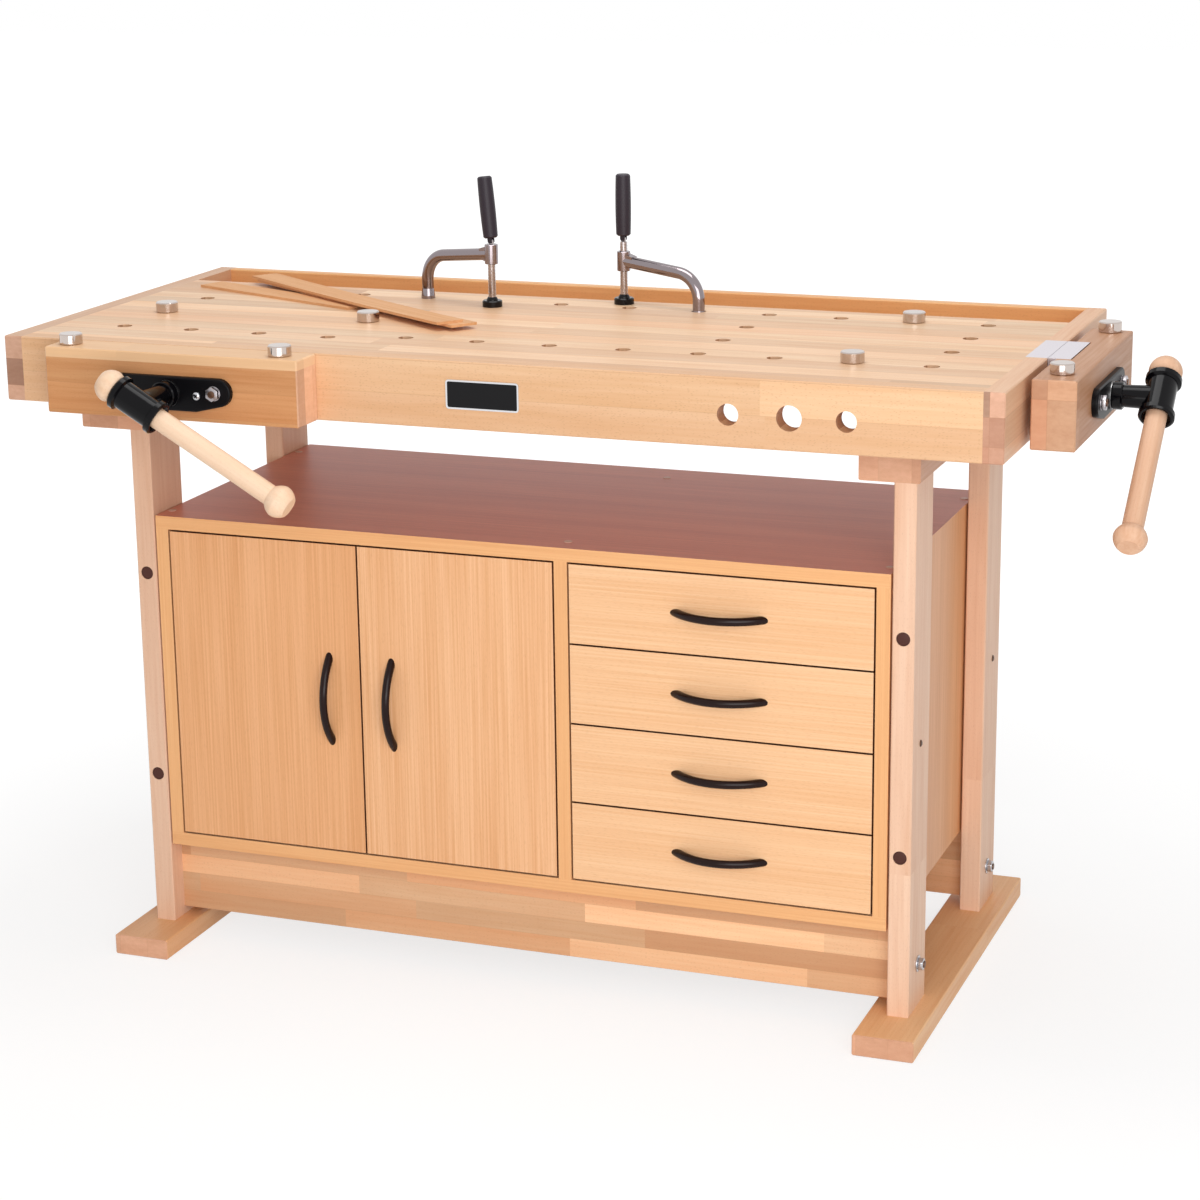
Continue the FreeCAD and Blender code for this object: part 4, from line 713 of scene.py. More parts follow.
@dataclass(frozen=True)
class Frame:
    """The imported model, places on it given in the bench's own drawing, and the materials made so far.

    The drawing measures from the left end of the top, the front face of its apron and the floor.
    """

    nodes: dict
    corner: Vector
    made: dict[str, bpy.types.Material] = field(default_factory=dict)

    def at(self, x: float, y: float, z: float) -> Vector:
        """A place given in millimetres of the drawing, in the frame."""
        return self.corner + Vector((x, y, z)) * MM

    def material(self, finish: Finish) -> bpy.types.Material:
        """Give the material of a finish, made when it is first asked for.

        Args:
            finish: the finish.

        Returns:
            Its material.
        """
        if finish.name not in self.made:
            self.made[finish.name] = finish.material()
        return self.made[finish.name]

    def paint(self, node: str, finishes: list[Finish], rule: Rule | None = None) -> None:
        """Give a node its finishes.

        Args:
            node: name of the node.
            finishes: finishes in the order of the rule's answers.
            rule: from a face's middle and normal, which finish it gets; without one the first covers all.
        """
        mesh = self.nodes[node].data
        mesh.materials.clear()
        for finish in finishes:
            mesh.materials.append(self.material(finish))
        for face in mesh.polygons:
            face.material_index = rule(face.center, face.normal) if rule else 0
        log.info("painted %s with %s", node, ", ".join(f.name for f in finishes))

    def board(self, node: str, faces: SolidBeech, ends: SolidBeech) -> None:
        """Give a wooden node one finish along its grain and another on its ends."""
        axis = faces.grain.value[0]
        self.paint(node, [faces, ends], lambda middle, normal: 1 if abs(normal[axis]) > SQUARE else 0)

    def piece(self, name: str, mesh: Mesh, stand: Stand, finishes: list[Finish], body: str = "bench",
              slot: str = "bright_steel", smooth: float = 35.0) -> bpy.types.Object:
        """Finish a new piece and make it ride on a body.

        Args:
            name: the piece's name.
            mesh: its shape, in the stand's frame.
            stand: where it goes.
            finishes: its finishes; faces name them by material index.
            body: body that it rides on.
            slot: not used.
            smooth: faces that meet at less than this angle look like one surface, in degrees.

        Returns:
            The finished object.
        """
        bmesh.ops.transform(mesh, matrix=stand.matrix(), verts=mesh.verts)
        bmesh.ops.recalc_face_normals(mesh, faces=mesh.faces)
        for face in mesh.faces:
            face.smooth = True
        for edge in mesh.edges:
            edge.smooth = len(edge.link_faces) == 2 and edge.calc_face_angle() < math.radians(smooth)
        data = bpy.data.meshes.new(name)
        mesh.to_mesh(data)
        mesh.free()
        for finish in finishes:
            data.materials.append(self.material(finish))
        made = linked(name, data)
        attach(made, body)
        log.info("made %s on %s, %d faces", name, body, len(data.polygons))
        return made


def cylinder(mesh: Mesh, diameter: float, low: float, high: float, segments: int = 32,
             centre: Pair = (0.0, 0.0)) -> list:
    """Add a closed cylinder along +Z.

    Args:
        mesh: mesh to add to.
        diameter: its diameter.
        low: Z of the lower end.
        high: Z of the upper end.
        segments: sides of the circle.
        centre: X and Y of the axis.

    Returns:
        The new vertices.
    """
    middle = Matrix.Translation((centre[0], centre[1], (low + high) / 2))
    return bmesh.ops.create_cone(
        mesh, cap_ends=True, cap_tris=False, segments=segments, radius1=diameter / 2, radius2=diameter / 2,
        depth=high - low, matrix=middle,
    )["verts"]


def block(mesh: Mesh, size: Triple, middle: Triple, turn: float = 0.0) -> list:
    """Add a box.

    Args:
        mesh: mesh to add to.
        size: its length along each axis.
        middle: its centre.
        turn: angle about Z, in radians.

    Returns:
        The new vertices.
    """
    place = Matrix.Translation(middle) @ Matrix.Rotation(turn, 4, "Z") @ Matrix.Diagonal((*size, 1.0))
    return bmesh.ops.create_cube(mesh, size=1.0, matrix=place)["verts"]


def rounded(mesh: Mesh, verts: list, width: float, segments: int = 2, sharp: float = 30.0) -> None:
    """Bevel the sharp edges among some vertices.

    Args:
        mesh: the mesh.
        verts: vertices whose edges may be rounded.
        width: how far the bevel reaches.
        segments: steps of the round.
        sharp: smallest angle between faces that is rounded, in degrees.
    """
    chosen = set(verts)
    edges = [e for e in mesh.edges if e.verts[0] in chosen and e.verts[1] in chosen
             and len(e.link_faces) == 2 and e.calc_face_angle() > math.radians(sharp)]
    bmesh.ops.bevel(mesh, geom=edges, offset=width, offset_type="OFFSET", affect="EDGES", segments=segments,
                    profile=0.5, material=-1, clamp_overlap=True)


def turned_shape(mesh: Mesh, outline: list[Pair], steps: int = 48) -> list:
    """Spin an outline about +Z.

    Args:
        mesh: mesh to add to.
        outline: radius and height of each point, from the axis out and back to it.
        steps: sides of the full turn.

    Returns:
        The new vertices.
    """
    verts = [mesh.verts.new((radius, 0.0, height)) for radius, height in outline]
    edges = [mesh.edges.new(pair) for pair in zip(verts, verts[1:])]
    before = set(mesh.verts) - set(verts)
    bmesh.ops.spin(mesh, geom=verts + edges, cent=(0, 0, 0), axis=(0, 0, 1), angle=2 * math.pi, steps=steps,
                   use_merge=True)
    made = [v for v in mesh.verts if v not in before]
    bmesh.ops.remove_doubles(mesh, verts=made, dist=1e-6)
    return [v for v in mesh.verts if v not in before]


def arch_point(half: float, rise: float, share: float) -> Vector:
    """A point of the round arch over (-half, 0) and (half, 0), in the XZ plane.

    Args:
        half: half the distance between its ends.
        rise: its height in the middle.
        share: how far along it the point lies, from -1 to 1.

    Returns:
        The point.
    """
    radius = (half * half + rise * rise) / (2 * rise)
    angle = share * math.asin(half / radius)
    return Vector((radius * math.sin(angle), 0.0, rise - radius + radius * math.cos(angle)))


# ---------------------------------------------------------------- fasteners
@dataclass(frozen=True)
class Thread:
    """A screw thread: radii of its crest and of the bar under it, its rise in one turn and a turn's sides.

    The ridge is `foot` of the lead wide either way where it sinks into the bar, and `top` at its crest.
    """

    crest: float
    root: float
    lead: float
    steps: int
    sink: float = 0.2 * MM
    foot: float = 0.36
    top: float = 0.14

    def build(self, mesh: Mesh, low: float, high: float) -> None:
        """Add the thread as one ridge that winds about +Z.

        Args:
            mesh: mesh to add to.
            low: Z of its lower end.
            high: Z of its upper end.
        """
        inside = self.root - self.sink
        crest, foot, top = self.crest, self.foot, self.top
        outline = [(inside, -foot), (crest, -top), (crest, top), (inside, foot)]
        verts = [mesh.verts.new((radius, 0.0, low + self.lead * (0.5 + part))) for radius, part in outline]
        start = mesh.faces.new(verts)
        turns = (high - low) / self.lead - 1
        count = round(turns * self.steps)
        bmesh.ops.spin(mesh, geom=[start, *start.edges, *verts], cent=(0, 0, 0), axis=(0, 0, 1),
                       dvec=(0, 0, turns * self.lead / count), angle=turns * 2 * math.pi, steps=count,
                       use_merge=False)


@dataclass(frozen=True)
class BoltEnd:
    """A washer, a nut and the bolt's end on the plane Z = 0; the end takes the second finish."""

    washer: float = 20 * MM
    washer_thick: float = 1.6 * MM
    across: float = 15 * MM
    nut: float = 7 * MM
    bolt: float = 9 * MM
    proud: float = 1.5 * MM
    sunk: float = 1 * MM
    washer_round: float = 0.3 * MM
    nut_round: float = 0.6 * MM
    bolt_round: float = 0.5 * MM
    washer_sides: int = 40
    bolt_sides: int = 24

    def build(self, mesh: Mesh, centre: Pair) -> None:
        """Add the pieces.

        Args:
            mesh: mesh to add to.
            centre: where the bolt's axis meets the plane.
        """
        disc = cylinder(mesh, self.washer, 0.0, self.washer_thick, self.washer_sides, centre)
        rounded(mesh, disc, self.washer_round)
        top = self.washer_thick + self.nut
        corners = self.across / math.cos(math.radians(30))
        hexagon = cylinder(mesh, corners, self.washer_thick, top, 6, centre)
        rounded(mesh, hexagon, self.nut_round)
        before = set(mesh.faces)
        end = cylinder(mesh, self.bolt, top - self.sunk, top + self.proud, self.bolt_sides, centre)
        rounded(mesh, end, self.bolt_round)
        for face in set(mesh.faces) - before:
            face.material_index = 1


@dataclass(frozen=True)
class ScrewHead:
    """A domed screw head on the plane Z = 0, with a cross recess that takes the second finish.

    The dome's outline and the recess are shares of the head's radius, diameter and height.
    """

    diameter: float = 8 * MM
    height: float = 2.4 * MM
    dome: tuple[Pair, ...] = ((1.0, 0.0), (1.0, 0.3), (0.85, 0.72), (0.5, 1.0), (0.0, 1.0))
    cross_length: float = 0.55
    cross_width: float = 0.13
    cross_low: float = 0.35
    cross_proud: float = 0.08 * MM
    sides: int = 24

    def build(self, mesh: Mesh, centre: Pair) -> None:
        """Add the head.

        Args:
            mesh: mesh to add to.
            centre: where the screw's axis meets the plane.
        """
        outline = [(self.diameter / 2 * out, self.height * up) for out, up in self.dome]
        verts = turned_shape(mesh, outline, self.sides)
        bmesh.ops.translate(mesh, vec=(*centre, 0.0), verts=verts)
        low = self.height * self.cross_low
        high = self.height + self.cross_proud
        size = (self.diameter * self.cross_length, self.diameter * self.cross_width, high - low)
        for turn in (math.pi / 4, -math.pi / 4):
            bar = block(mesh, size, (*centre, (low + high) / 2), turn)
            for face in {f for v in bar for f in v.link_faces}:
                face.material_index = 1


# ---------------------------------------------------------------- the top
@dataclass
class Top:
    """Slab, apron, end caps, back rail and tray floor."""

    frame: Frame

    def build(self) -> None:
        """Dress the pieces of the top."""
        boards = {"benchtop_slab": SLAB, "front_apron": APRON, "back_rail": RAIL, "tray_floor": TRAY}
        for node, finish in boards.items():
            self.frame.board(node, finish, BOARD_ENDS)
        for side in Side:
            self.frame.board(f"end_cap_{side}", END_CAP, CAP_ENDS)
        self.frame.paint("end_cap_plate", [ALUMINIUM])


@dataclass
class NamePlate:
    """The bare black plate on the apron, with its bright rim."""

    frame: Frame
    rim_width: float = 2.4 * MM

    def build(self) -> None:
        """Dress the plate."""
        low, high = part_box("name_plate")

        def rule(middle: Vector, normal: Vector) -> int:
            """Send the recessed face to the second finish."""
            inside = all(low[i] + self.rim_width < middle[i] < high[i] - self.rim_width for i in (0, 2))
            return 1 if inside and abs(normal.y) > SQUARE else 0

        self.frame.paint("name_plate", [PLATE_RIM, PLATE_FACE], rule)


@dataclass
class LooseStrips:
    """Three thin planed strips lying on the top."""

    frame: Frame

    def build(self) -> None:
        """Dress the strips."""
        self.frame.paint("loose_strips", [STRIP])


# ---------------------------------------------------------------- leg frames
@dataclass
class LegFrames:
    """Legs, feet, bearers and stretchers, with their caps, screws and bolts.

    Bolts and screws are given by their place back from the apron's front and up from the floor.
    """

    frame: Frame
    leg_thick: float = 28.5 * MM
    cap_diameter: float = 17.4 * MM
    cap_sink: float = 2.6 * MM
    cap_height: float = 2.2 * MM
    cap_round: float = 0.7 * MM
    cap_sides: int = 40
    cap_heights: Pair = (529.0 * MM, 243.0 * MM)
    bolt: BoltEnd = BoltEnd(washer=22 * MM)
    bolts: tuple[Pair, Pair] = ((122.0 * MM, 86.0 * MM), (509.0 * MM, 82.0 * MM))
    screw: ScrewHead = ScrewHead(9 * MM, 2 * MM)
    screws: tuple[Pair, Pair] = ((118.0 * MM, 384.0 * MM), (514.0 * MM, 384.0 * MM))

    def caps(self) -> None:
        """Make the brown caps in the fixing holes in the fronts of the legs."""
        low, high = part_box("legs")
        mesh = bmesh.new()
        for x in (low.x + self.leg_thick / 2, high.x - self.leg_thick / 2):
            for height in self.cap_heights:
                verts = cylinder(mesh, self.cap_diameter, 0.0, self.cap_height, self.cap_sides, (x, height))
                rounded(mesh, verts, self.cap_round, 3)
        front = Stand(Vector((0.0, low.y + self.cap_sink, 0.0)), RIGHT, -BACK)
        self.frame.piece("leg_cover_caps", mesh, front, [BROWN_CAP], "bench", "beech_wood")

    def fixings(self) -> None:
        """Make the bolts and screws on the outer sides of both leg frames."""
        low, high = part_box("legs")
        for side, x in ((Side.LEFT, low.x), (Side.RIGHT, high.x)):
            out = side.value
            stand = Stand(Vector((x, self.frame.corner.y, 0.0)), out * BACK, out * RIGHT)
            bolts = bmesh.new()
            for y, z in self.bolts:
                self.bolt.build(bolts, (out * y, z))
            self.frame.piece(f"{side}_frame_bolts", bolts, stand, [ZINC, BRONZE])
            screws = bmesh.new()
            for y, z in self.screws:
                self.screw.build(screws, (out * y, z))
            self.frame.piece(f"{side}_frame_screws", screws, stand, [BRONZE, ENAMEL])

    def build(self) -> None:
        """Dress the frames and make their fasteners."""
        self.frame.board("legs", LEG, END_Z)
        # the feet and stretchers take beech brightened with painted light
        self.frame.board("feet", FOOT, END_Y)
        self.frame.board("bearers", BEARER, END_Y)
        self.frame.board("front_stretcher", STRETCHER, BOARD_ENDS)
        self.frame.board("back_stretcher", STRETCHER, BOARD_ENDS)
        self.caps()
        self.fixings()


# ---------------------------------------------------------------- cabinet
@dataclass
class BowHandle:
    """The bow handle of a door or drawer, with the two screws that hold it from inside."""

    frame: Frame
    node: str
    lie: Lie
    foot: float = 18 * MM
    bar: float = 8.5 * MM
    width: float = 10.8 * MM
    steps: int = 28
    sides: int = 24
    smooth: float = 60.0
    screw: ScrewHead = ScrewHead(7.5 * MM, 2.2 * MM)
    screw_gap: float = 96 * MM

    def screws(self) -> None:
        """Make the two screw heads inside the front."""
        low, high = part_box(f"{self.node}_handle")
        middle = (low + high) / 2
        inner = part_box(self.node)[0].y + CABINET_BOARD
        mesh = bmesh.new()
        for side in (-0.5, 0.5):
            self.screw.build(mesh, (side * self.screw_gap, 0.0))
        stand = Stand(Vector((middle.x, inner, middle.z)), self.lie.along(), BACK)
        self.frame.piece(f"{self.node}_handle_screws", mesh, stand, [ZINC, ENAMEL], self.node)

    def build(self) -> None:
        """Make the bow of oval sections that run into two rounded feet, in place of the plain bow."""
        low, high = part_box(f"{self.node}_handle")
        size = high - low
        middle = (low + high) / 2
        half = size[self.lie.value] / 2
        mesh = bmesh.new()
        loops = []
        for step in range(self.steps + 1):
            share = 2 * step / self.steps - 1
            outer = arch_point(half, size.y, share)
            inner = arch_point(half - self.foot, size.y - self.bar, share)
            across = (outer - inner) / 2
            way = across.normalized()
            turn = Matrix((way, BACK, way.cross(BACK))).transposed().to_4x4()
            oval = Matrix.Diagonal((across.length, self.width / 2, 1.0, 1.0))
            place = Matrix.Translation((outer + inner) / 2) @ turn @ oval
            ring = bmesh.ops.create_circle(mesh, cap_ends=step in (0, self.steps), radius=1.0,
                                           segments=self.sides, matrix=place)["verts"]
            loops.append({e for v in ring for e in v.link_edges})
        for first, second in zip(loops, loops[1:]):
            bmesh.ops.bridge_loops(mesh, edges=list(first | second))
        stand = Stand(Vector((middle.x, high.y, middle.z)), self.lie.along(), -BACK)
        made = self.frame.piece(f"{self.node}_bow_handle", mesh, stand, [HANDLE_BLACK], self.node,
                                "handle_black", self.smooth)
        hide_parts(f"{self.node}_handle")
        self.screws()


@dataclass
class Cabinet:
    """Carcass, doors and drawers with their hinges, runners, caps and screws.

    The caps on the cabinet's top are placed in millimetres of the drawing.
    """

    frame: Frame
    drawers: int = 4
    top_skin: float = 0.5 * MM
    slack: float = 0.3 * MM
    cap_xs: Triple = (175.0, 749.0, 1176.0)
    cap_ys: Pair = (112.0, 498.0)
    cap_diameter: float = 11 * MM
    cap_low: float = -0.2 * MM
    cap_high: float = 0.9 * MM
    cap_round: float = 0.35 * MM
    hinge_inset: float = 8 * MM
    hinge_plate: float = 5 * MM
    hinge_screw: ScrewHead = ScrewHead(6.5 * MM, 1.4 * MM)
    hinge_screw_ys: Pair = (32 * MM, 52 * MM)
    cup_inset: float = 22.5 * MM
    cup_height: float = 70 * MM
    cup_radius: float = 17 * MM
    cup_skin: float = 1 * MM

    def carcass_rule(self) -> Rule:
        """Make the rule that sorts the carcass faces.

        Returns:
            A rule that answers sides, brown top, inside levels, level edge bands or upright edge bands.
        """
        low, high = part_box("cabinet_panels")

        def rule(middle: Vector, normal: Vector) -> int:
            """Tell bands by facing front or back, and levels by facing up or down.

            Args:
                middle: the face's middle.
                normal: its normal.

            Returns:
                Which finish the face gets.
            """
            if abs(normal.y) > SQUARE:
                return 3 if middle.z > high.z - CABINET_BOARD or middle.z < low.z + CABINET_BOARD else 4
            if abs(normal.z) > SQUARE:
                return 1 if middle.z > high.z - self.top_skin else 2
            return 0

        return rule

    def front_rule(self, node: str) -> Rule:
        """Make the rule that tells a front board from the box behind it.

        Args:
            node: the door's or drawer's node.

        Returns:
            A rule that answers the board's faces, its edges or what lies behind it.
        """
        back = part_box(node)[0].y + CABINET_BOARD + self.slack

        def rule(middle: Vector, normal: Vector) -> int:
            """Tell the box by lying behind the board, and the faces by facing front or back."""
            front = 0 if abs(normal.y) > SQUARE else 1
            return 2 if middle.y > back else front

        return rule

    def door_rule(self, node: str, side: Side) -> Rule:
        """Make a door's rule, which also finds its two steel hinge cups.

        Args:
            node: the door's node.
            side: side of the door that its hinges are on.

        Returns:
            The front board's rule, where the cups count as behind the board.
        """
        plain = self.front_rule(node)
        low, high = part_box(node)
        face = low.y + self.cup_skin
        x = low.x + self.cup_inset if side is Side.LEFT else high.x - self.cup_inset
        heights = (low.z + self.cup_height, high.z - self.cup_height)

        def rule(middle: Vector, normal: Vector) -> int:
            """Tell the cups by lying near their axes and behind the board's face."""
            apart = min(math.hypot(middle.x - x, middle.z - z) for z in heights)
            return 2 if apart < self.cup_radius and middle.y > face else plain(middle, normal)

        return rule

    def top_caps(self) -> None:
        """Make the small round caps over the screws in the cabinet's top."""
        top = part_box("cabinet_panels")[1].z
        mesh = bmesh.new()
        for x in self.cap_xs:
            for y in self.cap_ys:
                place = self.frame.at(x, y, 0.0).to_2d()
                verts = cylinder(mesh, self.cap_diameter, self.cap_low, self.cap_high, centre=place)
                rounded(mesh, verts, self.cap_round)
        stand = Stand(Vector((0.0, 0.0, top)), RIGHT, UP)
        self.frame.piece("cabinet_top_caps", mesh, stand, [TAN_CAP], "bench", "beech_board")

    def hinge_screws(self) -> None:
        """Make the two screws that hold each hinge arm to the carcass."""
        low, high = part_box("door_hinges")
        for side, x in ((Side.LEFT, low.x), (Side.RIGHT, high.x)):
            inwards = -side.value
            mesh = bmesh.new()
            for z in (low.z + self.hinge_inset, high.z - self.hinge_inset):
                for y in self.hinge_screw_ys:
                    self.hinge_screw.build(mesh, (inwards * (low.y + y), z))
            origin = Vector((x + inwards * self.hinge_plate, 0.0, 0.0))
            stand = Stand(origin, inwards * BACK, inwards * RIGHT)
            self.frame.piece(f"{side}_hinge_screws", mesh, stand, [ZINC, ENAMEL])

    def build(self) -> None:
        """Dress the cabinet and make its small pieces."""
        boards = [SIDE_BOARD, TOP_BOARD, FLAT_BOARD, BAND_X, BAND_Z]
        self.frame.paint("cabinet_panels", boards, self.carcass_rule())
        self.frame.paint("cabinet_back", [HARDBOARD])
        self.frame.paint("door_hinges", [SHEET_STEEL])
        self.frame.paint("drawer_runners", [SHEET_STEEL])
        # the left door takes the darker copy of the print, painted shade
        for side, board in ((Side.LEFT, SHADED_LEFT_DOOR_BOARD), (Side.RIGHT, DOOR_BOARD)):
            node = f"{side}_door"
            # the door's edges take the dark brown, painted shade of the gaps
            self.frame.paint(node, [board, GAP_SHADE_BAND, SHEET_STEEL], self.door_rule(node, side))
            BowHandle(self.frame, node, Lie.UPRIGHT).build()
        for number in range(1, self.drawers + 1):
            node = f"drawer_{number}"
            # the drawer's edges take the dark brown, painted shade of the gaps
            self.frame.paint(node, [DRAWER_BOARD, GAP_SHADE_BAND, FLAT_BOARD], self.front_rule(node))
            BowHandle(self.frame, node, Lie.LEVEL).build()
        self.top_caps()
        self.hinge_screws()


# ---------------------------------------------------------------- vises
@dataclass
class Vise:
    """One vise: its jaw, cast flange, guides, threaded screw, hub and wooden handle."""

    frame: Frame
    place: Place
    handle: SolidBeech
    nut: BoltEnd = BoltEnd(19 * MM, 0.8 * MM, 16.5 * MM, 6 * MM, 9.5 * MM)
    nut_place: Pair = (66.5 * MM, 3.5 * MM)
    screw: ScrewHead = ScrewHead(11 * MM, 3 * MM)
    screw_place: Pair = (42 * MM, -1 * MM)
    thread: Thread = Thread(12 * MM, 10 * MM, 5 * MM, 20)
    thread_inset: float = 2 * MM
    thread_end: float = -13 * MM
    chamfer: float = 1.5 * MM
    cone: Pair = (-14 * MM, -12 * MM)
    flange_thick: float = 8 * MM
    stub: float = 8 * MM
    washer: float = 17.5 * MM
    washer_low: float = 8.3 * MM
    washer_high: float = 9.9 * MM
    strip_height: float = 13 * MM
    block_width: float = 20 * MM
    block_height: float = 24 * MM

    @property
    def name(self) -> str:
        """The vise's word in the names of nodes."""
        return self.place.value

    def stand(self) -> Stand:
        """Find the vise's own frame.

        Returns:
            A stand with +X along the jaw, +Y up and +Z outwards from the jaw's face.
        """
        flange_low, flange_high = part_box(f"{self.name}_flange")
        low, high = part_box(f"{self.name}_spindle")
        origin = (low + high) / 2
        if self.place is Place.FRONT:
            origin.y = flange_high.y
            return Stand(origin, RIGHT, -BACK)
        origin.x = flange_low.x
        return Stand(origin, BACK, RIGHT)

    def hardware(self) -> None:
        """Make the nuts, washers and small screw on the flange."""
        face = self.stand()
        face = replace(face, origin=face.origin + face.out * self.flange_thick)
        body = f"{self.name}_vise_jaw"
        nuts = bmesh.new()
        for side in (-1, 1):
            self.nut.build(nuts, (side * self.nut_place[0], self.nut_place[1]))
        self.frame.piece(f"{self.name}_flange_nuts", nuts, face, [NUT_STEEL, BRONZE], body)
        small = bmesh.new()
        self.screw.build(small, self.screw_place)
        self.frame.piece(f"{self.name}_flange_screw", small, face, [ZINC, ENAMEL], body)

    def threaded_screw(self) -> None:
        """Make the vise screw with its thread, in place of the plain bar."""
        low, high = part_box(f"{self.name}_spindle")
        stand = self.stand()
        inner, outer = sorted(stand.out.dot(corner - stand.origin) for corner in (low, high))
        crest, root = self.thread.crest, self.thread.root
        mesh = bmesh.new()
        turned_shape(mesh, [
            (0.0, inner), (root - self.chamfer, inner), (root, inner + self.chamfer), (root, self.cone[0]),
            (crest, self.cone[1]), (crest, self.flange_thick), (self.stub, self.flange_thick),
            (self.stub, self.washer_low), (self.washer, self.washer_low), (self.washer, self.washer_high),
            (self.stub, self.washer_high), (self.stub, outer), (0.0, outer),
        ])
        self.thread.build(mesh, inner + self.thread_inset, self.thread_end)
        made = self.frame.piece(f"{self.name}_threaded_screw", mesh, stand, [BAR_STEEL],
                                f"{self.name}_vise_screw", "steel_bar")
        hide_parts(f"{self.name}_spindle")

    def jaw(self) -> None:
        """Dress the jaw: the front one with its lighter strip, the end one with its blocks and plate."""
        if self.place is Place.FRONT:
            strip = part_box("front_jaw")[1].z - self.strip_height
            faces, ends = (replace(finish, strip_above=strip) for finish in (JAW_X, JAW_ENDS))
            self.frame.board("front_jaw", faces, ends)
            return
        low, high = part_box("end_jaw")
        blocks = replace(
            JAW_Y_ENDS, stave_shift=-(low.x + self.block_width) / JAW_Y_ENDS.stave_width,
            layer_shift=-(high.z - self.block_height) / JAW_Y_ENDS.layer_height,
        )
        # the sides and top of the end jaw take the darker beech, painted shade
        self.frame.board("end_jaw", JAW_Y, blocks)
        self.frame.paint("end_jaw_plate", [ALUMINIUM])

    def build(self) -> None:
        """Dress the vise and make its small pieces; the nuts of both vises are one node."""
        self.jaw()
        parts = {"flange": FLANGE_PAINT, "guide_bars": BAR_STEEL, "hub": ENAMEL, "handle": self.handle}
        for part, finish in parts.items():
            self.frame.paint(f"{self.name}_{part}", [finish])
        if self.place is Place.FRONT:
            self.frame.paint("vise_nuts", [ENAMEL])
        self.hardware()
        self.threaded_screw()


# ---------------------------------------------------------------- dogs and hold-down clamps
@dataclass
class Dogs:
    """Eight round steel dogs."""

    frame: Frame
    count: int = 8

    def build(self) -> None:
        """Dress the dogs."""
        for number in range(1, self.count + 1):
            self.frame.paint(f"dog_{number}", [DOG_STEEL])


@dataclass
class Clamp:
    """A hold-down clamp: arm, threaded screw, pad and folding grip; its flat eye lies along `turn`."""

    frame: Frame
    side: Side
    turn: float
    thread: Thread = Thread(5.5 * MM, 4.7 * MM, 2 * MM, 16)
    thread_inset: float = 0.2 * MM
    thread_runout: float = 0.6 * MM
    chamfer: float = 0.8 * MM
    eye: float = 6.4 * MM
    tang: float = 3 * MM
    tang_sunk: float = 1 * MM
    stem_from_eye: float = 4 * MM
    sides: int = 32

    def threaded_screw(self) -> None:
        """Make the clamp's screw with its thread and its flat eye, in place of the plain bar."""
        low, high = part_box(f"{self.side}_clamp_screw")
        middle = (low + high) / 2
        direction = Vector((math.cos(self.turn), math.sin(self.turn), 0.0))
        stand = Stand(Vector((middle.x, middle.y, low.z)), direction, UP)
        eye_z = high.z - low.z - self.eye / 2
        shoulder = eye_z - self.stem_from_eye
        root = self.thread.root
        mesh = bmesh.new()
        turned_shape(mesh, [(0.0, 0.0), (root, 0.0), (root, shoulder - self.chamfer),
                            (root - self.chamfer, shoulder), (0.0, shoulder)], self.sides)
        self.thread.build(mesh, self.thread_inset, shoulder - self.thread_runout)
        foot = shoulder - self.tang_sunk
        block(mesh, (self.eye, self.tang, eye_z - foot), (0.0, 0.0, (eye_z + foot) / 2))
        verts = cylinder(mesh, self.eye, -self.tang / 2, self.tang / 2)
        lift = Matrix.Translation((0.0, 0.0, eye_z)) @ Matrix.Rotation(math.pi / 2, 4, "X")
        bmesh.ops.transform(mesh, matrix=lift, verts=verts)
        made = self.frame.piece(f"{self.side}_clamp_threaded_screw", mesh, stand, [NICKEL],
                                f"{self.side}_clamp_screw")
        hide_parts(f"{self.side}_clamp_screw")

    def build(self) -> None:
        """Dress the clamp and make its threaded screw."""
        for part, finish in {"arm": ARM_STEEL, "pad": PAD_PLASTIC, "grip": GRIP_PLASTIC}.items():
            self.frame.paint(f"{self.side}_clamp_{part}", [finish])
        self.threaded_screw()


# ---------------------------------------------------------------- studio
@dataclass(frozen=True)
class Lamp:
    """A soft rectangular lamp: its power in watts, width and height, its place and what it points at."""

    name: str
    power: float
    size: Pair
    place: Triple
    target: Triple

    def build(self) -> None:
        """Make the lamp."""
        data = bpy.data.lights.new(self.name, "AREA")
        data.shape = "RECTANGLE"
        data.size = self.size[0]
        data.size_y = self.size[1]
        data.energy = self.power
        lamp = linked(self.name, data)
        lamp.location = self.place
        lamp.rotation_mode = "QUATERNION"
        lamp.rotation_quaternion = (Vector(self.target) - Vector(self.place)).to_track_quat("-Z", "Y")


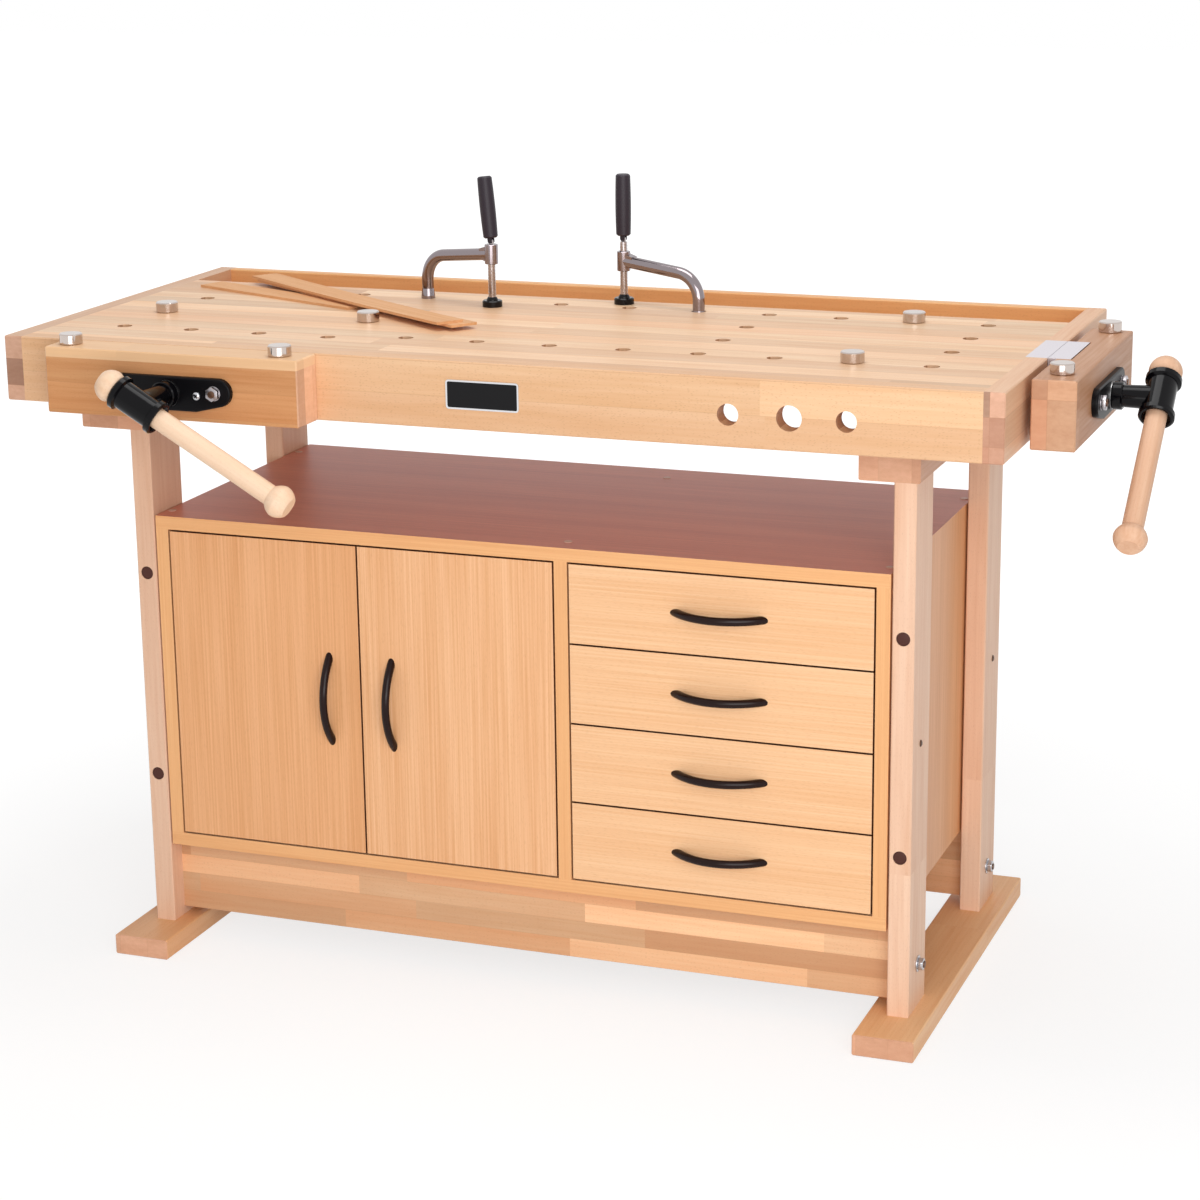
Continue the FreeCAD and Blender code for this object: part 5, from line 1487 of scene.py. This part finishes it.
@dataclass
class Studio:
    """Plain white floor, soft lamps and the camera, which is placed in millimetres of the drawing."""

    frame: Frame
    place: Triple = (2066.6, -3268.9, 1522.9)
    yaw: float = 0.3606
    pitch: float = 0.2666
    roll: float = -0.0128
    focal_pixels: float = 2907.8
    image_pixels: float = 1200.0
    sensor: float = 36.0
    clip: Pair = (0.05, 60.0)
    floor_size: float = 30.0
    floor_sink: float = 0.5 * MM
    ambient: float = 0.46
    lamps: tuple[Lamp, ...] = (
        Lamp("overhead_lamp", 24.0, (1.8, 1.2), (0.0, 0.1, 3.0), (0.0, 0.1, 0.0)),
        Lamp("front_lamp", 61.0, (2.8, 2.2), (1.8, -3.3, 1.6), (0.0, 0.0, 0.5)),
        Lamp("low_lamp", 18.0, (2.6, 0.9), (1.0, -3.2, 0.6), (0.0, 0.0, 0.1)),
    )

    def camera(self) -> None:
        """Make the camera."""
        yaw, pitch, roll = self.yaw, self.pitch, self.roll
        ahead = Vector((-math.sin(yaw), math.cos(yaw), 0.0))
        forward = ahead * math.cos(pitch) - UP * math.sin(pitch)
        level = Vector((math.cos(yaw), math.sin(yaw), 0.0))
        upright = level.cross(forward)
        right = level * math.cos(roll) + upright * math.sin(roll)
        up = upright * math.cos(roll) - level * math.sin(roll)
        data = bpy.data.cameras.new("camera")
        data.sensor_width = self.sensor
        data.lens = self.focal_pixels / self.image_pixels * self.sensor
        data.clip_start = self.clip[0]
        data.clip_end = self.clip[1]
        camera = linked("camera", data)
        camera.rotation_mode = "QUATERNION"
        camera.location = self.frame.at(*self.place)
        camera.rotation_quaternion = Matrix((right, up, -forward)).transposed().to_quaternion()
        bpy.context.scene.camera = camera

    def world(self) -> None:
        """Light the world evenly and show it white to the camera, to gloss and through glass."""
        world = bpy.data.worlds.new("studio")
        world.use_nodes = True
        world.node_tree.nodes.clear()
        nodes = Nodes(world.node_tree)
        strength = nodes.spread(nodes.seen(), (0.0, 1.0), (self.ambient, 1.0))
        background = nodes.add("Background", {"Color": "#FFFFFF", "Strength": strength})
        nodes.add("OutputWorld", {"Surface": background.outputs[0]})
        bpy.context.scene.world = world

    def floor(self) -> None:
        """Make the floor."""
        mesh = bmesh.new()
        bmesh.ops.create_grid(mesh, x_segments=1, y_segments=1, size=self.floor_size / 2)
        bmesh.ops.translate(mesh, vec=(0.0, 0.0, -self.floor_sink), verts=mesh.verts)
        data = bpy.data.meshes.new("studio_floor")
        mesh.to_mesh(data)
        mesh.free()
        data.materials.append(StudioPaper("white_studio_floor").material())
        floor = linked("studio_floor", data)

    def build(self) -> None:
        """Make the whole studio."""
        bpy.context.scene.view_settings.view_transform = "Standard"
        self.camera()
        self.world()
        self.floor()
        for lamp in self.lamps:
            lamp.build()


# ---------------------------------------------------------------- all
def main() -> None:
    """Dress the frame, add the small pieces and set up the studio."""
    logging.basicConfig(level=logging.INFO, format="%(name)s: %(message)s")
    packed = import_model()
    corner = Vector((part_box("end_cap_left")[0].x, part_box("front_apron")[0].y, 0.0))
    frame = Frame(packed["nodes"], corner)
    assemblies = [
        Top(frame),
        NamePlate(frame),
        LooseStrips(frame),
        LegFrames(frame),
        Cabinet(frame),
        Vise(frame, Place.FRONT, FRONT_HANDLE),
        Vise(frame, Place.END, END_HANDLE),
        Dogs(frame),
        Clamp(frame, Side.LEFT, math.radians(-20.0)),
        Clamp(frame, Side.RIGHT, math.radians(166.0)),
        Studio(frame),
    ]
    for assembly in assemblies:
        assembly.build()
        log.info("%s is done", type(assembly).__name__)


if __name__ == "__main__":
    main()
